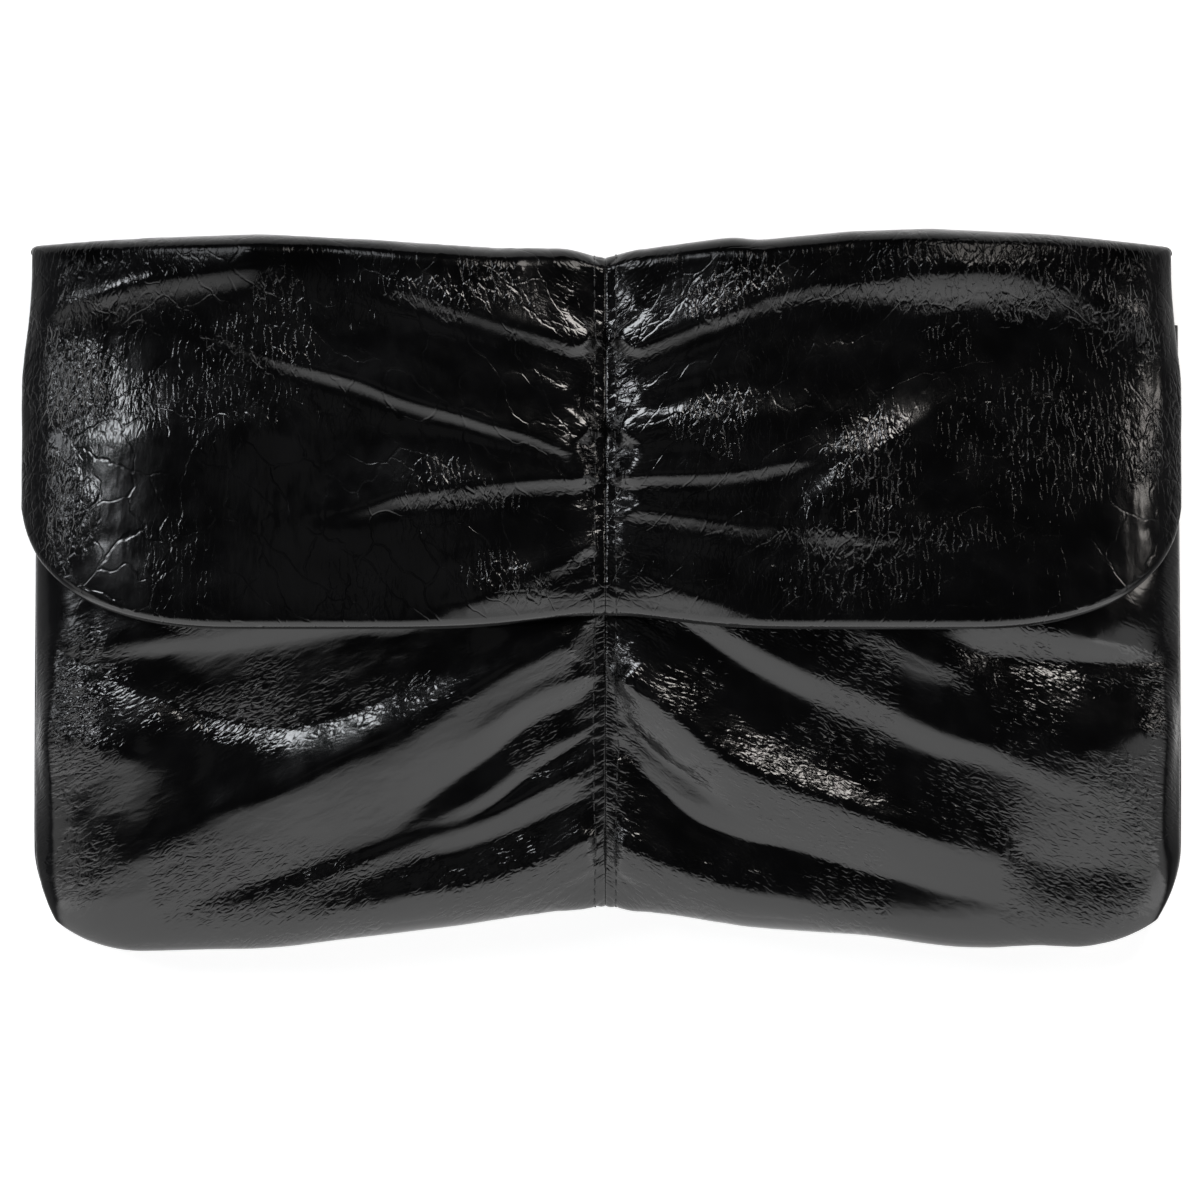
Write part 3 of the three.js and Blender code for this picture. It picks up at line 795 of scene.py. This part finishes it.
def shape_grid(piece, cells, surface):
    """Moves a grid's vertices to their places on a surface, and gives it the surface's coordinates."""
    column, row = grid_order(piece, cells)
    mesh = piece.data
    mesh.vertices.foreach_set("co", (surface.points[column, row] * MM).ravel())
    mesh.attributes.new("crinkled", "FLOAT", "POINT")
    mesh.attributes["crinkled"].data.foreach_set("value", surface.crinkled[column, row].ravel())
    corners = np.empty(len(mesh.loops), int)
    mesh.loops.foreach_get("vertex_index", corners)
    mesh.uv_layers.active.name = "skin"
    mesh.uv_layers.new(name="gathers")
    for name, places in (("skin", surface.skin), ("gathers", surface.gathers)):
        mesh.uv_layers[name].data.foreach_set("uv", places[column, row][corners].ravel())
    mesh.update()


def face_outwards(piece, flipped):
    """Turns a sheet's faces over where its columns run the other way."""
    if flipped:
        bpy.ops.object.mode_set(mode="EDIT")
        bpy.ops.mesh.select_all(action="SELECT")
        bpy.ops.mesh.flip_normals()
        bpy.ops.object.mode_set(mode="OBJECT")
    bpy.context.view_layer.objects.active = piece


def thicken(piece, wall, edge_round):
    """Gives a sheet its wall and rounds the rim."""
    solid = piece.modifiers.new("wall", "SOLIDIFY")
    solid.thickness = wall * MM
    solid.offset = 0
    bpy.ops.object.modifier_apply(modifier=solid.name)
    rim = piece.modifiers.new("rim", "BEVEL")
    rim.width = edge_round * MM
    rim.segments = RIM_SEGMENTS
    rim.limit_method = "ANGLE"
    rim.angle_limit = RIM_ANGLE
    bpy.ops.object.modifier_apply(modifier=rim.name)
    bpy.ops.object.shade_smooth()


def leather_piece(name, node, cells, surface, wall, flipped):
    """A finished leather panel that stands for a CAD node."""
    piece = add_grid(name, cells)
    shape_grid(piece, cells, surface)
    face_outwards(piece, flipped)
    thicken(piece, wall, RIM_ROUND)
    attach(piece, BODY)
    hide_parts(node)
    return piece


def share_grid(cells):
    """Shares across and along for every point of a panel's grid."""
    return np.meshgrid(crowded(cells.across), np.linspace(0, 1, cells.along + 1), indexing="ij")


def add_node(tree, kind, **settings):
    """A shader node with its settings."""
    node = tree.nodes.new(kind)
    for key, value in settings.items():
        setattr(node, key, value)
    return node


def plug(socket, value):
    """Links an input to an output, or sets its value."""
    if isinstance(value, bpy.types.NodeSocket):
        socket.id_data.links.new(value, socket)
    else:
        socket.default_value = value


def set_inputs(node, **values):
    """Links or sets a node's inputs by name, with underscores for spaces."""
    for key, value in values.items():
        plug(node.inputs[key.replace("_", " ")], value)


def math_node(tree, operation, *values, kind="ShaderNodeMath"):
    """A Math node on values, each a socket or a number."""
    node = add_node(tree, kind, operation=operation)
    for socket, value in zip(node.inputs, values):
        plug(socket, value)
    return node.outputs[0]


def mapped(tree, vector, **change):
    """Coordinates stretched by a Scale or turned by a Rotation."""
    node = add_node(tree, "ShaderNodeMapping")
    set_inputs(node, Vector=vector, **change)
    return node.outputs["Vector"]


def noise(tree, vector, scale, detail=2.0, output="Fac"):
    """A noise texture's value, or its colour."""
    node = add_node(tree, "ShaderNodeTexNoise")
    set_inputs(node, Vector=vector, Scale=scale, Detail=detail)
    return node.outputs[output]


def ranged(tree, value, low, high, to_low=0.0, to_high=1.0):
    """A value eased from one range to another."""
    node = add_node(tree, "ShaderNodeMapRange", interpolation_type="SMOOTHSTEP")
    set_inputs(node, Value=value, From_Min=low, From_Max=high, To_Min=to_low, To_Max=to_high)
    return node.outputs["Result"]


def wandering(tree, vector, wander):
    """Coordinates pushed about by noise."""
    kind = "ShaderNodeVectorMath"
    source = noise(tree, vector, wander.scale, 3.0, "Color")
    centred = math_node(tree, "SUBTRACT", source, (0.5, 0.5, 0.5), kind=kind)
    return math_node(tree, "MULTIPLY_ADD", centred, (wander.amount,) * 3, vector, kind=kind)


def creases(tree, vector, cell, width):
    """0 in the creases between stretched cells and 1 on the cells."""
    node = add_node(tree, "ShaderNodeTexVoronoi", feature="DISTANCE_TO_EDGE", voronoi_dimensions="2D")
    cells = mapped(tree, vector, Scale=(1 / cell[0], 1 / cell[1], 1))
    set_inputs(node, Vector=cells, Scale=1.0, Randomness=1.0)
    return ranged(tree, node.outputs["Distance"], 0.0, width)


def parts(tree, vector):
    """The X, Y and Z of a vector."""
    node = add_node(tree, "ShaderNodeSeparateXYZ")
    set_inputs(node, Vector=vector)
    return node.outputs


def mixed(tree, share, first, second):
    """A share of the way from one colour to another, each a socket or a colour."""
    node = add_node(tree, "ShaderNodeMixRGB")
    for socket, value in zip(node.inputs, (share, first, second)):
        plug(socket, value if isinstance(value, bpy.types.NodeSocket) else (*value, 1))
    return node.outputs[0]


def scaled(colour, share):
    """A paler or darker colour."""
    return tuple(share * part for part in colour)


def give_relief(tree, shader, height, distance, strength=1.0):
    """Gives a shader and its coat the relief of a height."""
    bump = add_node(tree, "ShaderNodeBump")
    set_inputs(bump, Strength=strength, Distance=distance, Height=height)
    normal = bump.outputs["Normal"]
    set_inputs(shader, Normal=normal, Coat_Normal=normal)


def new_material(name):
    """An empty material's tree and its shader."""
    material = bpy.data.materials.new(name)
    material.use_nodes = True
    tree = material.node_tree
    tree.nodes.clear()
    shader = add_node(tree, "ShaderNodeBsdfPrincipled")
    output = add_node(tree, "ShaderNodeOutputMaterial")
    set_inputs(output, Surface=shader.outputs["BSDF"])
    return material, tree, shader


def leather_material(looks, name):
    """Glazed black leather: creases that follow the skin, pebbles near the seam, and a glossy coat."""
    material, tree, shader = new_material(name)
    finish = LEATHERS[name]
    skin = add_node(tree, "ShaderNodeUVMap", uv_map="skin").outputs["UV"]
    gathers = add_node(tree, "ShaderNodeUVMap", uv_map="gathers").outputs["UV"]
    near_seam = ranged(tree, parts(tree, gathers)["X"], *PEBBLED_OUT, 1.0, 0.0)
    crinkled = add_node(tree, "ShaderNodeAttribute", attribute_name="crinkled").outputs["Fac"]
    patchy = noise(tree, mapped(tree, skin, Scale=BROKEN_SCALE), 1.0)
    patches = math_node(tree, "MULTIPLY", crinkled, ranged(tree, patchy, *BROKEN_RANGE, BROKEN_LEAST, 1.0))
    wavy = skin
    for wander in SKIN_WANDER:
        wavy = wandering(tree, wavy, wander)
    crinkle = creases(tree, wavy, finish.cell, finish.width)
    crumple = noise(tree, mapped(tree, wavy, Scale=CRUMPLE_SCALE), 1.0)
    vein_skin = mapped(tree, wandering(tree, skin, VEIN_WANDER), Rotation=(0, 0, VEIN_TURN))
    pebble = creases(tree, wandering(tree, gathers, PEBBLE_WANDER), PEBBLE_CELL, PEBBLE_WIDTH)
    swell = noise(tree, mapped(tree, skin, Scale=SWELL_SCALE), 1.0)
    height = math_node(tree, "MULTIPLY", swell, SWELL_DEPTH)
    crease_depth = looks.crease_depth / MM
    layers = (
        (math_node(tree, "MULTIPLY", crinkle, patches), finish.depth * crease_depth),
        (math_node(tree, "MULTIPLY", crumple, crinkled), CRUMPLE_DEPTH),
        (creases(tree, vein_skin, finish.vein, VEIN_WIDTH), finish.vein_depth * crease_depth),
        (math_node(tree, "MULTIPLY", pebble, near_seam), PEBBLE_DEPTH),
        (noise(tree, skin, GRAIN_SCALE, 3.0), GRAIN_DEPTH),
    )
    for value, depth in layers:
        height = math_node(tree, "MULTIPLY_ADD", value, depth, height)
    give_relief(tree, shader, height, MM)
    mottled = ranged(tree, noise(tree, skin, TONE_SCALE, 4.0), *TONE_RANGE)
    tone = mixed(tree, mottled, looks.leather_colour, scaled(looks.leather_colour, PALER))
    # painted sheen: the steep sides and upper end get a paler colour, and the gloss is dulled there and along
    # the top fold
    sides, dull = painted_sheen(tree)
    rough = [share * looks.gloss_roughness for share in GLOSS_SHARES]
    set_inputs(
        shader,
        Base_Color=mixed(tree, sides, tone, looks.painted_sheen_colour),
        Roughness=ranged(tree, noise(tree, skin, GLOSS_SCALE, 4.0), *GLOSS_RANGE, *rough),
        Specular_IOR_Level=ranged(tree, dull, 0.0, 1.0, *SPECULAR),
        Coat_Weight=ranged(tree, dull, 0.0, 1.0, *COAT),
        IOR=GLAZE_IOR,
        Coat_Roughness=COAT_ROUGHNESS,
    )
    return material


def painted_sheen(tree):
    """How much painted sheen the leather's steep sides and ends get, and how dull it is there and along the
    top fold.
    """
    facing = parts(tree, add_node(tree, "ShaderNodeNewGeometry").outputs["Normal"])
    place = parts(tree, add_node(tree, "ShaderNodeTexCoord").outputs["Object"])
    sideways = math_node(tree, "MULTIPLY", facing["X"], place["X"])
    ends = ranged(tree, facing["Y"], *SHEEN_END, 0.0, SHEEN_END_MOST)
    sides = math_node(tree, "MAXIMUM", ranged(tree, sideways, *SHEEN_SIDE), ends)
    top = ranged(tree, place["Y"], *DULL_TOP, 0.0, DULL_TOP_MOST)
    return sides, math_node(tree, "MAXIMUM", sides, top)


def facing_material(looks):
    """Smooth satin black leather for the flap's lining, with painted shade in its grain's creases."""
    material, tree, shader = new_material("satin_facing")
    skin = add_node(tree, "ShaderNodeUVMap", uv_map="skin").outputs["UV"]
    grain = creases(tree, wandering(tree, skin, FACING_WANDER), FACING_GRAIN, FACING_GRAIN_WIDTH)
    give_relief(tree, shader, grain, FACING_GRAIN_DEPTH * MM)
    # painted shade: darker in the grain's creases, paler on the cells between them
    tone = mixed(tree, grain, looks.leather_colour, scaled(looks.leather_colour, FACING_PALER))
    set_inputs(shader, Base_Color=tone, Roughness=FACING_ROUGHNESS, IOR=GLAZE_IOR)
    return material


def thread_material(looks):
    """Black waxed thread with a fine twist, with painted shade in the twist's grooves."""
    material, tree, shader = new_material("waxed_thread")
    place = add_node(tree, "ShaderNodeTexCoord").outputs["Object"]
    twist = add_node(tree, "ShaderNodeTexWave", wave_type="BANDS", bands_direction="DIAGONAL")
    set_inputs(twist, Vector=place, Scale=TWIST_SCALE, Distortion=1.5, Detail=1.0)
    give_relief(tree, shader, twist.outputs["Fac"], TWIST_DEPTH * MM, TWIST_STRENGTH)
    # painted shade: darker in the twist's grooves, paler on its strands
    paler = scaled(looks.thread_colour, THREAD_PALER)
    tone = mixed(tree, twist.outputs["Fac"], looks.thread_colour, paler)
    set_inputs(shader, Base_Color=tone, Roughness=THREAD_ROUGHNESS)
    return material


def snap_material():
    """Plated steel with fine turning marks."""
    material, tree, shader = new_material("plated_snap")
    place = add_node(tree, "ShaderNodeTexCoord").outputs["Object"]
    marks = noise(tree, place, SNAP_MARKS)
    rough = ranged(tree, marks, 0.3, 0.7, *SNAP_ROUGHNESS)
    set_inputs(shader, Base_Color=mixed(tree, marks, *SNAP_COLOURS), Roughness=rough, Metallic=1.0)
    return material


def floor_material(tone):
    """A plain pale floor with a faint mottle, lit a little from below as a light table is."""
    material, tree, shader = new_material("pale_floor")
    place = add_node(tree, "ShaderNodeTexCoord").outputs["Object"]
    colour = mixed(tree, noise(tree, place, FLOOR_MOTTLE, 3.0), tone, scaled(tone, FLOOR_DARKER))
    set_inputs(shader, Base_Color=colour, Roughness=0.9, Specular_IOR_Level=0.1)
    set_inputs(shader, Emission_Color=colour, Emission_Strength=FLOOR_GLOW)
    return material


def give_material(piece, material):
    """Puts one material on a piece."""
    piece.data.materials.clear()
    piece.data.materials.append(material)


def named_material(name, make):
    """A material by name, made the first time it is asked for."""
    return bpy.data.materials.get(name) or make()


def finish_leather(context, piece, leather):
    """Gives a leather panel its finish."""
    looks = context.scene.clutch_looks
    give_material(piece, named_material(leather, lambda: leather_material(looks, leather)))


def keep_seam_line(key, surface, normals, wall, offset):
    """Keeps the line on a panel's outside at a distance from the seam, for its stitches."""
    outs = surface.gathers[:, surface.gathers.shape[1] // 2, 0]
    column = int(np.argmin(np.abs(outs - offset)))
    SEAM_LINES[key] = surface.points[column] + normals[column] * wall / 2, normals[column]


# How each pair of leather halves is made: its mesh, which way its grid faces if it is sewn, the side whose
# faces are turned over, its finish, its flat size and area in metres, and what it rests on
Panel = namedtuple("Panel", "cells surface facing flipped leather flat area rests_on")
BACKS = ("back_left", "back_right")
FRONTS = ("front_leather_{side}",)
PANELS = {
    "front": Panel(FRONT_CELLS, front_surface, 1, "left", "pouch_leather", (0.165, 0.225), 0.036, BACKS),
    "back": Panel(BACK_CELLS, back_surface, 0, "right", "pouch_leather", (0.155, 0.175), 0.0262, ()),
    "flap": Panel(FLAP_CELLS, flap_surface, -1, "right", "flap_leather", (0.165, 0.165), 0.0225, FRONTS),
}


def make_halves(context, name):
    """Makes the two leather halves of a panel, and keeps the lines for its stitches if it is sewn."""
    sizes = context.scene.clutch_sizes
    wall = sizes.leather / MM
    panel = PANELS[name]
    across, along = share_grid(panel.cells)
    for side in SIDES:
        surface = panel.surface(side, across, along, wall)
        if panel.facing:
            normals = panel.facing * grid_normals(surface.points, side)
            keep_seam_line((name, side), surface, normals, wall, sizes.stitch_offset / MM)
        flipped = side == panel.flipped
        piece = leather_piece(f"{name}_leather_{side}", f"{name}_{side}", panel.cells, surface, wall, flipped)
        finish_leather(context, piece, panel.leather)


class ClutchSizes(bpy.types.PropertyGroup):
    """Sizes of the clutch's walls and stitches"""

    leather: bpy.props.FloatProperty(
        name="Leather", description="Thickness of the outer leather", default=1.4 * MM, unit="LENGTH"
    )
    facing: bpy.props.FloatProperty(
        name="Facing", description="Thickness of the flap's facing", default=1.0 * MM, unit="LENGTH"
    )
    stitch_offset: bpy.props.FloatProperty(
        name="Stitch offset", description="From the seam to the stitches", default=2.8 * MM, unit="LENGTH"
    )
    stitch_pitch: bpy.props.FloatProperty(
        name="Stitch pitch", description="From one stitch to the next", default=3.0 * MM, unit="LENGTH"
    )
    stitch_length: bpy.props.FloatProperty(
        name="Stitch length", description="Length of thread that shows", default=2.3 * MM, unit="LENGTH"
    )
    thread: bpy.props.FloatProperty(
        name="Thread", description="Thickness of the thread", default=0.5 * MM, unit="LENGTH"
    )


class ClutchLooks(bpy.types.PropertyGroup):
    """Colours and finish of the clutch"""

    leather_colour: bpy.props.FloatVectorProperty(
        name="Leather", description="Colour of the leather", default=(0.0009, 0.0009, 0.001), subtype="COLOR"
    )
    thread_colour: bpy.props.FloatVectorProperty(
        name="Thread", description="Colour of the thread", default=(0.006, 0.006, 0.0065), subtype="COLOR"
    )
    # painted sheen: the paler colour given to the leather's steep sides and upper end
    painted_sheen_colour: bpy.props.FloatVectorProperty(
        name="Painted side sheen",
        description="Colour of the leather where it is worn dull",
        subtype="COLOR",
        default=(0.007, 0.007, 0.0075),
        min=0,
        max=1,
    )
    gloss_roughness: bpy.props.FloatProperty(
        name="Roughness", description="Roughness of the glaze", default=0.17, subtype="FACTOR", min=0, max=1
    )
    crease_depth: bpy.props.FloatProperty(
        name="Crease depth", description="Depth of the fine creases", default=0.13 * MM, unit="LENGTH"
    )


class StageSettings(bpy.types.PropertyGroup):
    """Floor, lights and camera"""

    floor_tone: bpy.props.FloatVectorProperty(
        name="Floor", description="Colour of the floor", default=(0.92, 0.92, 0.92), subtype="COLOR"
    )
    lens: bpy.props.FloatProperty(name="Lens", description="Focal length in millimetres", default=150.0)
    view_width: bpy.props.FloatProperty(
        name="View width", description="Width of the view at the clutch", default=0.3164, unit="LENGTH"
    )
    view_centre: bpy.props.FloatVectorProperty(
        name="View centre", description="Middle of the view", default=(-0.0004, -0.0028, 0.012), subtype="XYZ"
    )
    light_strength: bpy.props.FloatProperty(
        name="Lights", description="Brightness of all the lights", default=1.0, min=0
    )


class CLUTCH_OT_fronts(bpy.types.Operator):
    """Makes the two gathered halves of the pouch's front"""

    bl_idname = "clutch.fronts"
    bl_label = "Front Halves"

    def execute(self, context):
        make_halves(context, "front")
        return {"FINISHED"}


class CLUTCH_OT_backs(bpy.types.Operator):
    """Makes the two halves of the pouch's back"""

    bl_idname = "clutch.backs"
    bl_label = "Back Halves"

    def execute(self, context):
        make_halves(context, "back")
        return {"FINISHED"}


class CLUTCH_OT_flaps(bpy.types.Operator):
    """Makes the two gathered halves of the flap"""

    bl_idname = "clutch.flaps"
    bl_label = "Flap Halves"

    def execute(self, context):
        make_halves(context, "flap")
        return {"FINISHED"}


class CLUTCH_OT_facing(bpy.types.Operator):
    """Makes the facing that lines the flap"""

    bl_idname = "clutch.facing"
    bl_label = "Flap Facing"

    def execute(self, context):
        sizes = context.scene.clutch_sizes
        wall = sizes.facing / MM
        inset = (sizes.leather / 2 + sizes.facing / 2) / MM + FACING_GAP
        across = np.linspace(-1, 1, FACING_CELLS.across + 1)
        rows = np.linspace(*FACING_ROWS, FACING_CELLS.along + 1)
        halves = []
        for side, shares in (("left", -across[across < 0]), ("right", across[across >= 0])):
            u, w = np.meshgrid(shares * FACING_REACH, rows, indexing="ij")
            out, y, z, _ = flap_place(side, u, w, 0)
            fold = flap_relief(side, out, y) + folds_height(TOP_DENTS[side], out, y)
            halves.append((to_points(side, out, y, z + fold - inset), out, y))
        points, out, y = (np.concatenate([half[i] for half in halves]) for i in range(3))
        piece = add_grid("flap_facing_leather", FACING_CELLS)
        skin = np.stack((out, y), axis=-1)
        shape_grid(piece, FACING_CELLS, Surface(points, skin, skin, np.zeros_like(out)))
        face_outwards(piece, False)
        thicken(piece, wall, FACING_RIM_ROUND)
        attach(piece, BODY)
        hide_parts("flap_facing")
        looks = context.scene.clutch_looks
        give_material(piece, named_material("satin_facing", lambda: facing_material(looks)))
        return {"FINISHED"}


class CLUTCH_OT_stitches(bpy.types.Operator):
    """Sews a row of stitches along each side of the centre seam"""

    bl_idname = "clutch.stitches"
    bl_label = "Seam Stitches"

    def execute(self, context):
        sizes = context.scene.clutch_sizes
        looks = context.scene.clutch_looks
        if not SEAM_LINES:
            raise RuntimeError("The front and the flap have to be made before the stitches")
        for (panel, side), (points, normals) in SEAM_LINES.items():
            bpy.ops.object.select_all(action="DESELECT")
            bpy.ops.mesh.primitive_uv_sphere_add(
                segments=STITCH_SEGMENTS, ring_count=STITCH_RINGS, radius=0.5
            )
            pattern = bpy.context.object
            pattern.scale = (sizes.stitch_length, sizes.thread, sizes.thread * THREAD_FLATNESS)
            bpy.ops.object.transform_apply(scale=True)
            row = self.sew(pattern, points, normals, sizes)
            row.name = row.data.name = f"{panel}_stitches_{side}"
            bpy.ops.object.shade_smooth()
            give_material(row, named_material("waxed_thread", lambda: thread_material(looks)))
            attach(row, BODY)
        return {"FINISHED"}

    def sew(self, pattern, points, normals, sizes):
        """Copies a stitch along a line of points and joins the copies."""
        length = np.concatenate(([0], np.cumsum(np.linalg.norm(np.diff(points, axis=0), axis=1))))
        places = np.arange(FIRST_STITCH, length[-1] - LAST_STITCH, sizes.stitch_pitch / MM)

        def at(values, where):
            return np.stack([np.interp(where, length, values[:, i]) for i in range(3)], axis=-1)

        reach = sizes.stitch_length / MM / 2
        places = places[at(points, places)[:, 2] > LOWEST_STITCH]
        middles, ups = at(points, places), at(normals, places)
        runs = at(points, places + reach) - at(points, places - reach)
        copies = []
        for middle, up, run in zip(middles, ups, runs):
            run = Vector(run).normalized()
            side = Vector(up).cross(run).normalized()
            copy = pattern.copy()
            copy.data = pattern.data.copy()
            turn = Matrix((run, side, run.cross(side))).transposed().to_4x4()
            copy.data.transform(Matrix.Translation(Vector(middle) * MM) @ turn)
            bpy.context.collection.objects.link(copy)
            copies.append(copy)
        bpy.data.objects.remove(pattern)
        for copy in copies:
            copy.select_set(True)
        bpy.context.view_layer.objects.active = copies[0]
        bpy.ops.object.join()
        return bpy.context.object


class CLUTCH_OT_snap(bpy.types.Operator):
    """Finishes the hidden snap"""

    bl_idname = "clutch.snap"
    bl_label = "Snap"

    def execute(self, context):
        give_material(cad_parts["magnet_snap"], snap_material())
        return {"FINISHED"}


class CLUTCH_OT_stage(bpy.types.Operator):
    """Lays the floor, hangs the lights and sets the camera"""

    bl_idname = "clutch.stage"
    bl_label = "Stage"

    def execute(self, context):
        stage = context.scene.clutch_stage
        bpy.ops.object.select_all(action="DESELECT")
        bpy.ops.mesh.primitive_plane_add(size=FLOOR_SIZE, location=(0, 0, FLOOR_Z))
        floor = bpy.context.object
        floor.name = "floor"
        bpy.ops.object.transform_apply(location=True)
        give_material(floor, floor_material(stage.floor_tone))
        for light in LIGHTS:
            self.add_light(light, stage.light_strength)
        world = bpy.data.worlds.new("studio")
        world.use_nodes = True
        world.node_tree.nodes["Background"].inputs["Color"].default_value = SURROUNDINGS
        context.scene.world = world
        context.scene.view_settings.view_transform = "Standard"
        self.add_camera(context, stage)
        return {"FINISHED"}

    def add_light(self, row, strength):
        """A soft light that faces its target, with its brightness as radiance."""
        bpy.ops.object.light_add(type="AREA", location=row.place)
        light = bpy.context.object
        light.name = light.data.name = row.name
        light.data.shape = "RECTANGLE" if max(row.size) > SMALL_LIGHT else "ELLIPSE"
        light.data.size, light.data.size_y = row.size
        light.data.energy = strength * row.strength * math.pi * row.size[0] * row.size[1]
        light.data.color = row.colour
        light.rotation_euler = (Vector(row.target) - Vector(row.place)).to_track_quat("-Z", "Y").to_euler()
        light.visible_camera = False

    def add_camera(self, context, stage):
        """A camera straight above the clutch."""
        height = stage.view_width * stage.lens / SENSOR
        place = Vector(stage.view_centre) + Vector((0, 0, height))
        bpy.ops.object.camera_add(location=place, rotation=(0, 0, 0))
        camera = bpy.context.object
        camera.name = "camera"
        camera.data.lens = stage.lens
        camera.data.sensor_width = SENSOR
        camera.data.clip_end = CLIP_END
        context.scene.camera = camera


class CLUTCH_PT_builder(bpy.types.Panel):
    """Lists the clutch's settings and steps"""

    bl_idname = "CLUTCH_PT_builder"
    bl_label = "Envelope Clutch"
    bl_space_type = "VIEW_3D"
    bl_region_type = "UI"
    bl_category = "Clutch"

    def draw(self, context):
        for settings in (context.scene.clutch_sizes, context.scene.clutch_looks, context.scene.clutch_stage):
            box = self.layout.box()
            for name in settings.__annotations__:
                box.prop(settings, name)
        for operator in STEPS:
            self.layout.operator(operator.bl_idname)


SETTINGS = {"clutch_sizes": ClutchSizes, "clutch_looks": ClutchLooks, "clutch_stage": StageSettings}
STEPS = (
    CLUTCH_OT_fronts,
    CLUTCH_OT_backs,
    CLUTCH_OT_flaps,
    CLUTCH_OT_facing,
    CLUTCH_OT_stitches,
    CLUTCH_OT_snap,
    CLUTCH_OT_stage,
)


def register():
    """Adds the clutch's settings, steps and panel."""
    for cls in (*SETTINGS.values(), *STEPS, CLUTCH_PT_builder):
        bpy.utils.register_class(cls)
    for name, cls in SETTINGS.items():
        setattr(bpy.types.Scene, name, bpy.props.PointerProperty(type=cls))


def unregister():
    """Takes them out again."""
    for name in SETTINGS:
        delattr(bpy.types.Scene, name)
    for cls in (CLUTCH_PT_builder, *reversed(STEPS), *reversed(SETTINGS.values())):
        bpy.utils.unregister_class(cls)


def main():
    """Builds the clutch and its stage."""
    register()
    bpy.ops.clutch.fronts()
    bpy.ops.clutch.backs()
    bpy.ops.clutch.flaps()
    bpy.ops.clutch.facing()
    bpy.ops.clutch.stitches()
    bpy.ops.clutch.snap()
    bpy.ops.clutch.stage()


if __name__ == "__main__":
    main()
